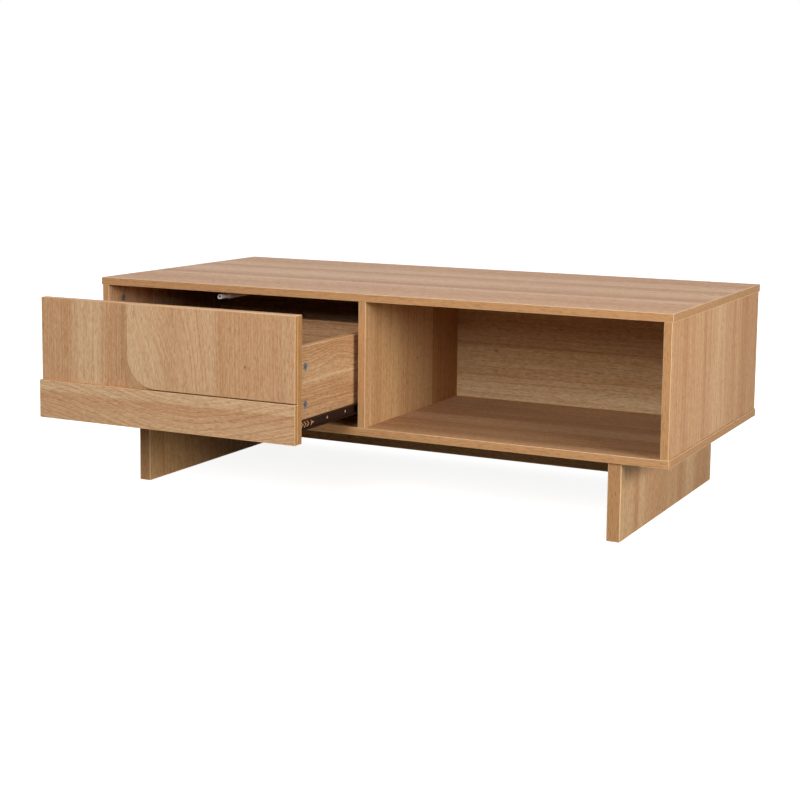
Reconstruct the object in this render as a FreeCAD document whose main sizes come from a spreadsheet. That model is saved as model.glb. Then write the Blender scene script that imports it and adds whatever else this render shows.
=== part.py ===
import FreeCAD
import Part
import Sketcher
import os
from types import SimpleNamespace

# A low oak-look coffee table with one push-open drawer and one open shelf bay.
# Flat boards make a long box on two plank legs; the drawer stands pulled out at rest.
# Frame: millimetres, +Z up, +X to the right seen from the front, the front faces -Y.
# The origin is on the floor under the middle of the table's whole outline, drawer included.

SIZES = [
    # Carcase
    ("top_length", 1200, "top and bottom boards, end to end"),
    ("top_depth", 590, "top and bottom boards, front to back"),
    ("board", 15, "thickness of every carcase board"),
    ("bay_height", 240, "clear height between bottom and top"),
    ("bay_depth", 420, "front edge to the face of the bay backs"),
    ("end_overhang", 2, "top past the outer faces of the sides"),
    ("edge_setback", 1, "uprights behind the top's front and back edges"),
    # Legs
    ("leg_height", 142, "floor to the underside of the bottom"),
    ("leg_thickness", 25, "plank legs"),
    ("leg_inset", 87, "end of the top to the outer face of a leg"),
    ("leg_setback", 6, "legs behind the front and back edges"),
    ("stretcher_height", 82, "rail between the legs"),
    # Drawer front
    ("reveal", 4, "gap round the inset drawer front"),
    ("front_thickness", 15, "plain board behind the overlays"),
    ("overlay_thickness", 9, "raised panel and lower plank"),
    ("plank_height", 73, "lower plank"),
    ("overlay_gap", 2.4, "shadow gap over the lower plank"),
    ("raised_start", 206, "left end of the front to the raised panel"),
    ("raised_corner", 62, "round lower left corner of the raised panel"),
    # Drawer box
    ("drawer_travel_left", 33, "how much further the drawer comes out than at rest"),
    ("drawer_back_gap", 21, "shut drawer to the bay back"),
    ("drawer_board", 15, "drawer sides and back"),
    ("drawer_side_height", 150, "drawer sides and back"),
    ("drawer_side_rise", 22.5, "lower edge of the front to lower edge of the box"),
    ("drawer_floor_thickness", 4, "floor board in its grooves"),
    ("drawer_floor_rise", 13, "lower edge of the box to the floor board"),
    ("groove_depth", 6, "grooves that hold the floor board"),
    # Runners
    ("runner_space", 11, "bay wall to drawer side"),
    ("runner_front_gap", 3, "shut front to the fixed member"),
    ("runner_back_gap", 43, "fixed member to the bay back"),
    ("runner_overlap", 90, "members still in each other, drawer fully open"),
    ("runner_height", 27, "fixed member"),
    ("runner_side_gap", 2, "fixed member to the drawer side"),
    ("runner_steel", 1.2, "both members"),
    ("runner_lip", 2.6, "turned edges of the fixed member"),
    ("slider_height", 18, "drawer member"),
    ("slider_front_gap", 0.5, "front board to the drawer member"),
    ("slider_hole", 6, "open round holes in the drawer member"),
    ("slider_hole_first", 103.5, "from the drawer member's front end"),
    ("slider_hole_pitch", 69, "first open hole to the second"),
    ("chevron_first", 16.5, "front end to the tip of the first chevron"),
    ("chevron_pitch", 10.4, "chevron to chevron"),
    ("chevron_height", 11, "chevrons and arrowhead"),
    ("chevron_sweep", 7, "tip ahead of the ends of its arms"),
    ("chevron_stroke", 4.2, "width of an arm along the runner"),
    ("arrow_gap", 3.7, "tip of the last chevron to the arrowhead's tail"),
    ("arrow_length", 14, "tail to tip"),
    ("arrow_notch", 3, "notch in the arrowhead's tail"),
    ("cage_steel", 0.7, "ball cage strip"),
    ("cage_clearance", 0.3, "ball cage to screw heads and to the drawer member"),
    ("cage_flange", 5, "ball cage, out from its web"),
    ("cage_end_gap", 3, "ball cage to the runner ends, drawer fully open"),
    ("ball_offset", 5.2, "wall to the ball rows"),
    ("ball_clearance", 0.1, "ball to track and ball to cage"),
    ("cage_margin", 6, "cage end to the first ball"),
    # Cam locks and their bolts
    ("cam_diameter", 15, "cam lock"),
    ("cam_depth", 12.5, "cam lock, face to back"),
    ("cam_bolt_depth", 7.5, "board face to the bolt's axis"),
    ("cam_slot_length", 9, "cross slot in the cam's face"),
    ("cam_slot_width", 1.6, "cross slot in the cam's face"),
    ("cam_slot_depth", 2.5, "cross slot in the cam's face"),
    ("carcase_cam_setback", 31, "board edge to cam, carcase"),
    ("carcase_cam_inset", 52, "front or back edge to cam, carcase"),
    ("drawer_cam_setback", 24, "board edge to cam, drawer"),
    ("drawer_cam_low", 43.5, "lower edge of the drawer box to the lower cam"),
    ("drawer_cam_spacing", 69.5, "lower cam to upper cam"),
    ("bolt_thread", 6, "bolt thread, diameter"),
    ("bolt_thread_length", 11, "bolt thread, in the other board"),
    ("bolt_shank", 5, "bolt shank, diameter"),
    ("bolt_neck", 3, "bolt neck, diameter"),
    ("bolt_neck_length", 3, "bolt neck inside the cam"),
    ("bolt_head_length", 3, "bolt head inside the cam"),
    # Dowels
    ("dowel_diameter", 8, "wooden dowels"),
    ("dowel_length", 30, "wooden dowels"),
    ("dowel_seat", 10, "length in the face of a board"),
    # Screws up through the bottom board
    ("base_screw_head", 10, "head diameter"),
    ("base_screw_head_length", 4.5, "sunk in the underside"),
    ("base_screw_shank", 7, "shank diameter"),
    ("base_screw_thread", 5, "thread diameter"),
    ("base_screw_length", 50, "head to point"),
    # Runner screws
    ("runner_screw_head", 7, "head diameter"),
    ("runner_screw_head_length", 0.9, "low head"),
    ("runner_screw_shank", 3.5, "shank diameter"),
    ("runner_screw_length", 12, "under the head"),
    # Push latch
    ("latch_from_side", 252, "left side's inner face to the latch"),
    ("latch_standoff", 5.5, "underside of the top to the barrel"),
    ("latch_front_gap", 0.3, "shut drawer front to the tip"),
    ("latch_stroke", 20, "how far the plunger goes in"),
    ("plunger_diameter", 9.8, "plunger tube"),
    ("plunger_reach", 33, "plunger in front of the barrel"),
    ("plunger_seat", 25, "plunger inside the barrel"),
    ("tip_diameter", 5.6, "soft core in the plunger's end"),
    ("tip_depth", 8, "soft core, front to back"),
    ("tip_recess", 0.6, "core behind the plunger's rim"),
    ("latch_clearance", 0.2, "plunger to barrel"),
    ("barrel_wall", 1.4, "latch barrel"),
    ("barrel_end", 2, "closed end of the barrel"),
    ("collar_rise", 0.5, "ring at the barrel's mouth, out from the barrel"),
    ("collar_length", 4, "ring at the barrel's mouth"),
    ("latch_plate_width", 22, "plate under the top"),
    ("latch_plate_length", 62, "plate under the top"),
    ("latch_plate_thickness", 3, "plate under the top"),
    ("latch_plate_start", 14, "barrel mouth to the plate"),
    ("latch_web", 6, "web from plate to barrel"),
    ("latch_screw_inset", 4.5, "plate edge to screw"),
    ("latch_screw_head", 6, "head diameter"),
    ("latch_screw_head_length", 2, "pan head"),
    ("latch_screw_shank", 3, "shank diameter"),
    ("latch_screw_length", 12, "under the head"),
    ("spring_pressed", 41, "room for the latch spring, plunger all the way in"),
    ("spring_outer", 8, "latch spring, outside"),
    ("spring_wire", 0.9, "latch spring, wire"),
    ("spring_end_gap", 0.1, "spring to what it pushes on"),
    # Shared
    ("fit_clearance", 0.1, "hardware in its hole, floor board in its groove"),
    ("overrun", 1, "cuts past a face"),
]

BALLS_PER_ROW = 8
CHEVRONS = 3
SLIDER_HOLES = 2
CROSS_ARMS = 4
SPRING_TURNS = 11
UPRIGHT_DOWEL_SHARE = 0.5
DRAWER_BACK_DOWEL_SHARES = (0.25, 0.75)
SHELF_BACK_DOWEL_SHARES = (0.15, 0.85)
BASE_SCREW_SHARES = (0.12, 0.5, 0.88)
LEG_CAM_SHARES = (0.15, 0.85)
FIXED_SCREW_SHARES = (0.08, 0.5, 0.92)
SLIDER_SCREW_SHARES = (0.225, 0.65, 0.92)
STRETCHER_CAM_SHARE = 0.65
STRETCHER_DOWEL_SHARE = 0.25

# The plane square to each axis, the two axes that its sketches run along,
# and whether a sketch there faces along its axis or against it.
PLANES = {
    "x": ("YZ_Plane", "yz", True),
    "y": ("XZ_Plane", "xz", False),
    "z": ("XY_Plane", "xy", True),
}
AXES = "xyz"

document = FreeCAD.newDocument("coffee_table")
nodes = []


class Size:
    """A length as a formula on the sheet, with its value for the first draft of a sketch."""

    def __init__(self, formula, value):
        self.formula = formula
        self.value = value

    def joined(self, sign, other, value):
        other_formula = other.formula if isinstance(other, Size) else repr(other)
        return Size(f"({self.formula} {sign} {other_formula})", value)

    def __add__(self, other):
        return self.joined("+", other, self.value + amount(other))

    def __sub__(self, other):
        return self.joined("-", other, self.value - amount(other))

    def __mul__(self, other):
        return self.joined("*", other, self.value * amount(other))

    def __truediv__(self, other):
        return self.joined("/", other, self.value / amount(other))

    def __neg__(self):
        return Size(f"(-1 * {self.formula})", -self.value)


ZERO = Size("0", 0.0)


def amount(number):
    return number.value if isinstance(number, Size) else number


def write_sheet():
    sheet = document.addObject("Spreadsheet::Sheet", "Sizes")
    for row, (name, value, words) in enumerate(SIZES, start=1):
        sheet.set(f"A{row}", name)
        sheet.set(f"B{row}", str(value))
        sheet.set(f"C{row}", words)
        sheet.setAlias(f"B{row}", name)
    document.recompute()
    sizes = {name: Size(f"Sizes.{name}", float(value)) for name, value, _ in SIZES}
    return SimpleNamespace(**sizes)


def direction(way):
    """The unit vector of a way such as "+x"."""
    vector = [0, 0, 0]
    vector[AXES.index(way[1])] = 1 if way[0] == "+" else -1
    return FreeCAD.Vector(*vector)


def opposite(way):
    return ("-" if way[0] == "+" else "+") + way[1]


def moved(point, way, distance):
    """The point, taken a distance along a way such as "+x"."""
    place = list(point)
    index = AXES.index(way[1])
    place[index] = place[index] + distance if way[0] == "+" else place[index] - distance
    return tuple(place)


def turned_to(x_way, z_way):
    """The rotation that takes a pattern's own X and Z along two ways."""
    x_vector = direction(x_way)
    z_vector = direction(z_way)
    return FreeCAD.Rotation(x_vector, z_vector.cross(x_vector), z_vector, "ZXY")


def place(feature, point):
    for axis, coordinate in zip(AXES, point):
        feature.setExpression(f"Placement.Base.{axis}", coordinate.formula)


def new_body(label, low, is_node=True):
    """An empty body whose own origin is its lowest corner."""
    body = document.addObject("PartDesign::Body", label)
    body.Label = label
    place(body, low)
    if is_node:
        nodes.append(body)
    return body


def new_sketch(body, axis, offset):
    """A sketch square to an axis of its body, at an offset along that axis."""
    role, _, faces_along = PLANES[axis]
    sketch = body.newObject("Sketcher::SketchObject", f"{body.Label}_sketch")
    plane = [item for item in body.Origin.OriginFeatures if item.Role == role][0]
    sketch.AttachmentSupport = [(plane, "")]
    sketch.MapMode = "FlatFace"
    distance = offset if faces_along else -offset
    sketch.setExpression("AttachmentOffset.Base.z", distance.formula)
    return sketch


def fix_point(sketch, geometry, point_index, point):
    """Ties one point of a sketch to two sizes."""
    for kind, coordinate in zip(("DistanceX", "DistanceY"), point):
        constraint = Sketcher.Constraint(kind, -1, 1, geometry, point_index, coordinate.value)
        index = sketch.addConstraint(constraint)
        sketch.setExpression(f"Constraints[{index}]", coordinate.formula)


def draw_outline(sketch, points):
    """A closed outline of straight edges through the points."""
    vectors = [FreeCAD.Vector(first.value, second.value, 0) for first, second in points]
    start = sketch.GeometryCount
    count = len(points)
    for index in range(count):
        sketch.addGeometry(Part.LineSegment(vectors[index], vectors[(index + 1) % count]))
    for index in range(count):
        after = start + (index + 1) % count
        sketch.addConstraint(Sketcher.Constraint("Coincident", start + index, 2, after, 1))
        fix_point(sketch, start + index, 1, points[index])


def draw_rectangle(sketch, low, high):
    draw_outline(sketch, [low, (high[0], low[1]), high, (low[0], high[1])])


def draw_circle(sketch, centre, diameter):
    middle = FreeCAD.Vector(centre[0].value, centre[1].value, 0)
    circle = Part.Circle(middle, FreeCAD.Vector(0, 0, 1), diameter.value / 2)
    geometry = sketch.addGeometry(circle)
    fix_point(sketch, geometry, 3, centre)
    index = sketch.addConstraint(Sketcher.Constraint("Diameter", geometry, diameter.value))
    sketch.setExpression(f"Constraints[{index}]", diameter.formula)


def pad(body, sketch, axis, length):
    """Grows a sketch along the positive axis."""
    feature = body.newObject("PartDesign::Pad", f"{body.Label}_pad")
    feature.Profile = sketch
    feature.Reversed = not PLANES[axis][2]
    feature.setExpression("Length", length.formula)
    document.recompute()


def pocket(body, sketch, way, length):
    """Cuts a sketch into the body along a way such as "+x"; the cut has to remove something."""
    before = body.Shape.Volume
    feature = body.newObject("PartDesign::Pocket", f"{body.Label}_pocket")
    feature.Profile = sketch
    along_axis = way[0] == "+"
    feature.Reversed = along_axis == PLANES[way[1]][2]
    feature.setExpression("Length", length.formula)
    document.recompute()
    if body.Shape.Volume >= before:
        raise RuntimeError(f"a cut in {body.Label} along {way} removes nothing")


class Board:
    """A rectangular board between two corners, drilled and grooved in the table's own frame."""

    def __init__(self, label, low, extent):
        self.low = low
        self.high = tuple(start + length for start, length in zip(low, extent))
        self.body = new_body(label, low)
        sketch = new_sketch(self.body, "z", ZERO)
        draw_rectangle(sketch, (ZERO, ZERO), (extent[0], extent[1]))
        pad(self.body, sketch, "z", extent[2])

    def own(self, axis, point):
        """A point's coordinate along an axis, in the board's own frame."""
        index = AXES.index(axis)
        return point[index] - self.low[index]

    def flat(self, way, point):
        """A point as seen on the plane square to a way."""
        return tuple(self.own(axis, point) for axis in PLANES[way[1]][1])

    def sketch_at(self, way, point):
        return new_sketch(self.body, way[1], self.own(way[1], point))

    def drill(self, way, mouths, diameter, depth):
        """Round holes with their mouths on one plane, going in along a way."""
        sketch = self.sketch_at(way, mouths[0])
        for mouth in mouths:
            draw_circle(sketch, self.flat(way, mouth), diameter)
        pocket(self.body, sketch, way, depth)

    def groove(self, way, low, high, depth):
        """A rectangular groove between two corners on one plane, going in along a way."""
        sketch = self.sketch_at(way, low)
        draw_rectangle(sketch, self.flat(way, low), self.flat(way, high))
        pocket(self.body, sketch, way, depth)


def turned(label, steps):
    """A stepped round piece about its own X, from lengths and diameters; it starts at its own origin."""
    body = new_body(label, (ZERO, ZERO, ZERO), is_node=False)
    sketch = new_sketch(body, "z", ZERO)
    points = [(ZERO, ZERO)]
    along = ZERO
    for length, diameter in steps:
        points.append((along, diameter / 2))
        along = along + length
        points.append((along, diameter / 2))
    points.append((along, ZERO))
    draw_outline(sketch, points)
    feature = body.newObject("PartDesign::Revolution", f"{label}_turn")
    feature.Profile = sketch
    feature.ReferenceAxis = (sketch, ["H_Axis"])
    document.recompute()
    return body


def copies(label, pattern, places):
    """One node of separate equal pieces: a copy of the pattern at each point, turned as given."""
    links = []
    for point, rotation in places:
        link = document.addObject("App::Link", f"{label}_copy")
        link.LinkedObject = pattern
        link.Placement = FreeCAD.Placement(FreeCAD.Vector(), rotation)
        place(link, point)
        links.append(link)
    group = document.addObject("Part::Compound", label)
    group.Label = label
    group.Links = links
    document.recompute()
    nodes.append(group)


size = write_sheet()

# Lengths that follow from the depth of the bay.
FRONT_DEPTH = size.overlay_thickness + size.front_thickness
BOX_DEPTH = size.bay_depth - FRONT_DEPTH - size.drawer_back_gap
RUNNER_LENGTH = size.bay_depth - FRONT_DEPTH - size.runner_front_gap - size.runner_back_gap
DRAWER_TRAVEL = RUNNER_LENGTH - size.runner_overlap
DRAWER_PULL = DRAWER_TRAVEL - size.drawer_travel_left

# Planes that many pieces share.
FRONT = (DRAWER_PULL - size.top_depth) / 2
BACK = FRONT + size.top_depth
BAY_FLOOR = size.leg_height + size.board
BAY_CEILING = BAY_FLOOR + size.bay_height
TOP_END = size.top_length / 2
SIDE_FACE = TOP_END - size.end_overhang - size.board
DIVIDER_FACE = size.board / 2
DRAWER_FACE = FRONT - DRAWER_PULL
BOX_FRONT = DRAWER_FACE + FRONT_DEPTH
FRONT_LEFT = -SIDE_FACE + size.reveal
FRONT_LOW = BAY_FLOOR + size.reveal
FRONT_WIDTH = SIDE_FACE - DIVIDER_FACE - size.reveal * 2
FRONT_HEIGHT = size.bay_height - size.reveal * 2
BOX_LOW = FRONT_LOW + size.drawer_side_rise
BOX_LEFT = -SIDE_FACE + size.runner_space
BOX_RIGHT = -DIVIDER_FACE - size.runner_space
BOX_BACK = BOX_FRONT + BOX_DEPTH


def carcase_boards():
    """Top, bottom, three uprights and the two bay backs."""
    upright_depth = size.top_depth - size.edge_setback * 2
    upright = (size.board, upright_depth, size.bay_height)
    upright_front = FRONT + size.edge_setback
    wide = (size.top_length, size.top_depth, size.board)
    bay_back = (SIDE_FACE - DIVIDER_FACE, size.board, size.bay_height)
    back_face = FRONT + size.bay_depth
    return SimpleNamespace(
        top=Board("top_panel", (-TOP_END, FRONT, BAY_CEILING), wide),
        bottom=Board("bottom_panel", (-TOP_END, FRONT, size.leg_height), wide),
        left=Board("left_side_panel", (-SIDE_FACE - size.board, upright_front, BAY_FLOOR), upright),
        right=Board("right_side_panel", (SIDE_FACE, upright_front, BAY_FLOOR), upright),
        divider=Board("centre_divider", (-DIVIDER_FACE, upright_front, BAY_FLOOR), upright),
        drawer_back=Board("drawer_bay_back", (-SIDE_FACE, back_face, BAY_FLOOR), bay_back),
        shelf_back=Board("shelf_bay_back", (DIVIDER_FACE, back_face, BAY_FLOOR), bay_back),
    )


def base_boards():
    """Two plank legs and the rail between them."""
    leg = (size.leg_thickness, size.top_depth - size.leg_setback * 2, size.leg_height)
    leg_front = FRONT + size.leg_setback
    inner_face = TOP_END - size.leg_inset - size.leg_thickness
    rail_front = (FRONT + BACK) / 2 - size.board / 2
    rail_low = size.leg_height - size.stretcher_height
    rail = (inner_face * 2, size.board, size.stretcher_height)
    return SimpleNamespace(
        left=Board("left_leg", (-TOP_END + size.leg_inset, leg_front, ZERO), leg),
        right=Board("right_leg", (inner_face, leg_front, ZERO), leg),
        rail=Board("leg_stretcher", (-inner_face, rail_front, rail_low), rail),
    )


def raised_panel():
    """The raised part of the drawer front, square but for its round lower left corner."""
    low = (FRONT_LEFT + size.raised_start, DRAWER_FACE, FRONT_LOW + size.plank_height + size.overlay_gap)
    width = FRONT_WIDTH - size.raised_start
    height = FRONT_HEIGHT - size.plank_height - size.overlay_gap
    radius = size.raised_corner
    body = new_body("drawer_front_raised_panel", low)
    sketch = new_sketch(body, "y", ZERO)
    corners = [(radius, ZERO), (width, ZERO), (width, height), (ZERO, height), (ZERO, radius)]
    vectors = [FreeCAD.Vector(first.value, second.value, 0) for first, second in corners]
    for start, end in zip(vectors, vectors[1:]):
        sketch.addGeometry(Part.LineSegment(start, end))
    middle = FreeCAD.Vector(radius.value, radius.value, 0)
    halfway = middle - FreeCAD.Vector(1, 1, 0).normalize() * radius.value
    arc = sketch.addGeometry(Part.Arc(vectors[-1], halfway, vectors[0]))
    for line in range(arc):
        fix_point(sketch, line, 1, corners[line])
    for line in range(arc - 1):
        sketch.addConstraint(Sketcher.Constraint("Coincident", line, 2, line + 1, 1))
    fix_point(sketch, arc - 1, 2, corners[-1])
    sketch.addConstraint(Sketcher.Constraint("Coincident", arc, 1, arc - 1, 2))
    sketch.addConstraint(Sketcher.Constraint("Coincident", arc, 2, 0, 1))
    index = sketch.addConstraint(Sketcher.Constraint("Radius", arc, radius.value))
    sketch.setExpression(f"Constraints[{index}]", radius.formula)
    pad(body, sketch, "y", size.overlay_thickness)


def drawer_boards():
    """The drawer's front with its overlays, its box and the floor board."""
    front_low = (FRONT_LEFT, DRAWER_FACE + size.overlay_thickness, FRONT_LOW)
    front = Board("drawer_front_board", front_low, (FRONT_WIDTH, size.front_thickness, FRONT_HEIGHT))
    plank_low = (FRONT_LEFT, DRAWER_FACE, FRONT_LOW)
    Board("drawer_front_lower_plank", plank_low, (FRONT_WIDTH, size.overlay_thickness, size.plank_height))
    raised_panel()
    side = (size.drawer_board, BOX_DEPTH, size.drawer_side_height)
    left = Board("drawer_left_side", (BOX_LEFT, BOX_FRONT, BOX_LOW), side)
    right = Board("drawer_right_side", (BOX_RIGHT - size.drawer_board, BOX_FRONT, BOX_LOW), side)
    inner_left = BOX_LEFT + size.drawer_board
    inner_right = BOX_RIGHT - size.drawer_board
    inner_back = BOX_BACK - size.drawer_board
    back_extent = (inner_right - inner_left, size.drawer_board, size.drawer_side_height)
    back = Board("drawer_back", (inner_left, inner_back, BOX_LOW), back_extent)

    floor_low = BOX_LOW + size.drawer_floor_rise
    floor_high = floor_low + size.drawer_floor_thickness
    tongue = size.groove_depth - size.fit_clearance
    floor_corner = (inner_left - tongue, BOX_FRONT - tongue, floor_low)
    floor_width = inner_right - inner_left + tongue * 2
    floor_depth = inner_back - BOX_FRONT + tongue * 2
    Board("drawer_floor", floor_corner, (floor_width, floor_depth, size.drawer_floor_thickness))
    slot_low = floor_low - size.fit_clearance
    slot_high = floor_high + size.fit_clearance
    slot_end = inner_back + size.groove_depth
    slot_left = inner_left - size.groove_depth
    slot_right = inner_right + size.groove_depth
    grooves = (
        (left, "-x", (inner_left, BOX_FRONT), (inner_left, slot_end)),
        (right, "+x", (inner_right, BOX_FRONT), (inner_right, slot_end)),
        (front, "-y", (slot_left, BOX_FRONT), (slot_right, BOX_FRONT)),
        (back, "+y", (inner_left, inner_back), (inner_right, inner_back)),
    )
    for board, way, start, end in grooves:
        board.groove(way, (*start, slot_low), (*end, slot_high), size.groove_depth)
    return SimpleNamespace(front=front, left=left, right=right, back=back)


def hole_for(diameter):
    return diameter + size.fit_clearance * 2


def share_of(low, high, share):
    """The place a share of the way from one plane to another."""
    return low + (high - low) * share


def cam_pattern():
    """A cam lock standing on its own origin: cross slot on top, a bore for the bolt along +X."""
    body = new_body("cam_lock", (ZERO, ZERO, ZERO), is_node=False)
    disc = new_sketch(body, "z", ZERO)
    draw_circle(disc, (ZERO, ZERO), size.cam_diameter)
    pad(body, disc, "z", size.cam_depth)
    reach = size.cam_slot_length / 2
    half = size.cam_slot_width / 2
    cross = new_sketch(body, "z", size.cam_depth)
    quarter = [(reach, -half), (reach, half), (half, half)]
    points = []
    for _ in range(CROSS_ARMS):
        points.extend(quarter)
        quarter = [(-second, first) for first, second in quarter]
    draw_outline(cross, points)
    pocket(body, cross, "-z", size.cam_slot_depth)
    bore = new_sketch(body, "x", -size.bolt_head_length)
    draw_circle(bore, (ZERO, size.cam_depth - size.cam_bolt_depth), hole_for(size.bolt_thread))
    pocket(body, bore, "+x", size.bolt_head_length + size.cam_diameter / 2 + size.overrun)
    return body


def bolt_pattern(label, setback):
    """A cam bolt along its own X, from its head in the cam to its thread in the other board."""
    head = size.bolt_head_length
    neck = size.bolt_neck_length
    shank = setback + head / 2 - head - neck
    return turned(label, [(head, size.bolt_shank), (neck, size.bolt_neck), (shank, size.bolt_shank),
                          (size.bolt_thread_length, size.bolt_thread)])


def cam_row(cam_board, bolt_board, points, face_way, edge_way, setback, locks, bolts):
    """Cam locks in one board's face, each drawing on a bolt that stands in the other board."""
    edges = []
    for point in points:
        edge = moved(moved(point, edge_way, setback), opposite(face_way), size.cam_bolt_depth)
        edges.append(edge)
        locks.append((moved(point, opposite(face_way), size.cam_depth), turned_to(edge_way, face_way)))
        start = moved(edge, opposite(edge_way), setback + size.bolt_head_length / 2)
        bolts.append((start, turned_to(edge_way, face_way)))
    depth = size.cam_depth + size.fit_clearance
    cam_board.drill(opposite(face_way), points, hole_for(size.cam_diameter), depth)
    cam_board.drill(opposite(edge_way), edges, hole_for(size.bolt_thread), setback)
    thread_depth = size.bolt_thread_length + size.fit_clearance
    bolt_board.drill(edge_way, edges, hole_for(size.bolt_thread), thread_depth)


def dowel_row(edge_board, face_board, points, way, dowels):
    """Dowels that lead along a way from one board's edge into the other board's face."""
    long_end = size.dowel_length - size.dowel_seat
    x_way = "+x" if way[1] != "x" else "+y"
    for point in points:
        dowels.append((moved(point, opposite(way), long_end), turned_to(x_way, way)))
    edge_board.drill(opposite(way), points, hole_for(size.dowel_diameter), long_end + size.fit_clearance)
    face_board.drill(way, points, hole_for(size.dowel_diameter), size.dowel_seat + size.fit_clearance)


def dowel_pattern():
    dowel = document.addObject("Part::Cylinder", "dowel")
    dowel.setExpression("Radius", (size.dowel_diameter / 2).formula)
    dowel.setExpression("Height", size.dowel_length.formula)
    return dowel


def carcase_joints(boards, cam, dowel):
    """Uprights hang from the top on cams and stand on screws; the bay backs sit on dowels."""
    locks = []
    bolts = []
    dowels = []
    cam_z = BAY_CEILING - size.carcase_cam_setback
    cam_rows = (FRONT + size.carcase_cam_inset, BACK - size.carcase_cam_inset)
    dowel_y = share_of(FRONT, BACK, UPRIGHT_DOWEL_SHARE)
    uprights = (
        (boards.left, -SIDE_FACE, "+x", -SIDE_FACE - size.board / 2),
        (boards.right, SIDE_FACE, "-x", SIDE_FACE + size.board / 2),
        (boards.divider, -DIVIDER_FACE, "-x", ZERO),
    )
    screws = []
    thread = size.base_screw_length - size.board
    for upright, face_x, face_way, middle_x in uprights:
        points = [(face_x, row, cam_z) for row in cam_rows]
        cam_row(upright, boards.top, points, face_way, "+z", size.carcase_cam_setback, locks, bolts)
        dowel_row(upright, boards.top, [(middle_x, dowel_y, BAY_CEILING)], "+z", dowels)
        mouths = [(middle_x, share_of(FRONT, BACK, share), size.leg_height) for share in BASE_SCREW_SHARES]
        tops = [moved(mouth, "+z", size.board) for mouth in mouths]
        head_depth = size.base_screw_head_length + size.fit_clearance
        boards.bottom.drill("+z", mouths, hole_for(size.base_screw_head), head_depth)
        boards.bottom.drill("+z", mouths, hole_for(size.base_screw_shank), size.board)
        upright.drill("+z", tops, hole_for(size.base_screw_thread), thread + size.fit_clearance)
        screws.extend((mouth, turned_to("+z", "+x")) for mouth in mouths)
    dowel_back = FRONT + size.bay_depth + size.board / 2
    ends = (
        (boards.drawer_back, boards.left, -SIDE_FACE, "-x", DRAWER_BACK_DOWEL_SHARES),
        (boards.drawer_back, boards.divider, -DIVIDER_FACE, "+x", DRAWER_BACK_DOWEL_SHARES),
        (boards.shelf_back, boards.divider, DIVIDER_FACE, "-x", SHELF_BACK_DOWEL_SHARES),
        (boards.shelf_back, boards.right, SIDE_FACE, "+x", SHELF_BACK_DOWEL_SHARES),
    )
    for back, upright, face_x, way, shares in ends:
        points = [(face_x, dowel_back, share_of(BAY_FLOOR, BAY_CEILING, share)) for share in shares]
        dowel_row(back, upright, points, way, dowels)
    shank = size.board - size.base_screw_head_length
    base_screw = turned("base_screw", [(size.base_screw_head_length, size.base_screw_head),
                                       (shank, size.base_screw_shank), (thread, size.base_screw_thread)])
    copies("carcase_cam_locks", cam, locks)
    copies("carcase_cam_bolts", bolt_pattern("carcase_bolt", size.carcase_cam_setback), bolts)
    copies("carcase_dowels", dowel, dowels)
    copies("carcase_base_screws", base_screw, screws)


def base_joints(base, boards, cam, dowel):
    """Legs hang from the bottom board on cams and a dowel; the rail is held between them."""
    locks = []
    bolts = []
    dowels = []
    setback = size.drawer_cam_setback
    inner_face = TOP_END - size.leg_inset - size.leg_thickness
    leg_low = FRONT + size.leg_setback
    leg_high = BACK - size.leg_setback
    rail_middle = (FRONT + BACK) / 2
    rail_back = rail_middle + size.board / 2
    rail_low = size.leg_height - size.stretcher_height
    for leg, face_x, face_way in ((base.left, -inner_face, "+x"), (base.right, inner_face, "-x")):
        cam_z = size.leg_height - setback
        points = [(face_x, share_of(leg_low, leg_high, share), cam_z) for share in LEG_CAM_SHARES]
        cam_row(leg, boards.bottom, points, face_way, "+z", setback, locks, bolts)
        middle_x = moved((face_x, ZERO, ZERO), opposite(face_way), size.leg_thickness / 2)[0]
        dowel_row(leg, boards.bottom, [(middle_x, rail_middle, size.leg_height)], "+z", dowels)
        edge_way = opposite(face_way)
        rail_cam_x = moved((face_x, ZERO, ZERO), face_way, setback)[0]
        rail_cam_z = share_of(rail_low, size.leg_height, STRETCHER_CAM_SHARE)
        rail_cam = (rail_cam_x, rail_back, rail_cam_z)
        cam_row(base.rail, leg, [rail_cam], "+y", edge_way, setback, locks, bolts)
        dowel_z = share_of(rail_low, size.leg_height, STRETCHER_DOWEL_SHARE)
        dowel_row(base.rail, leg, [(face_x, rail_middle, dowel_z)], edge_way, dowels)
    copies("leg_cam_locks", cam, locks)
    copies("leg_cam_bolts", bolt_pattern("leg_bolt", setback), bolts)
    copies("leg_dowels", dowel, dowels)


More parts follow.
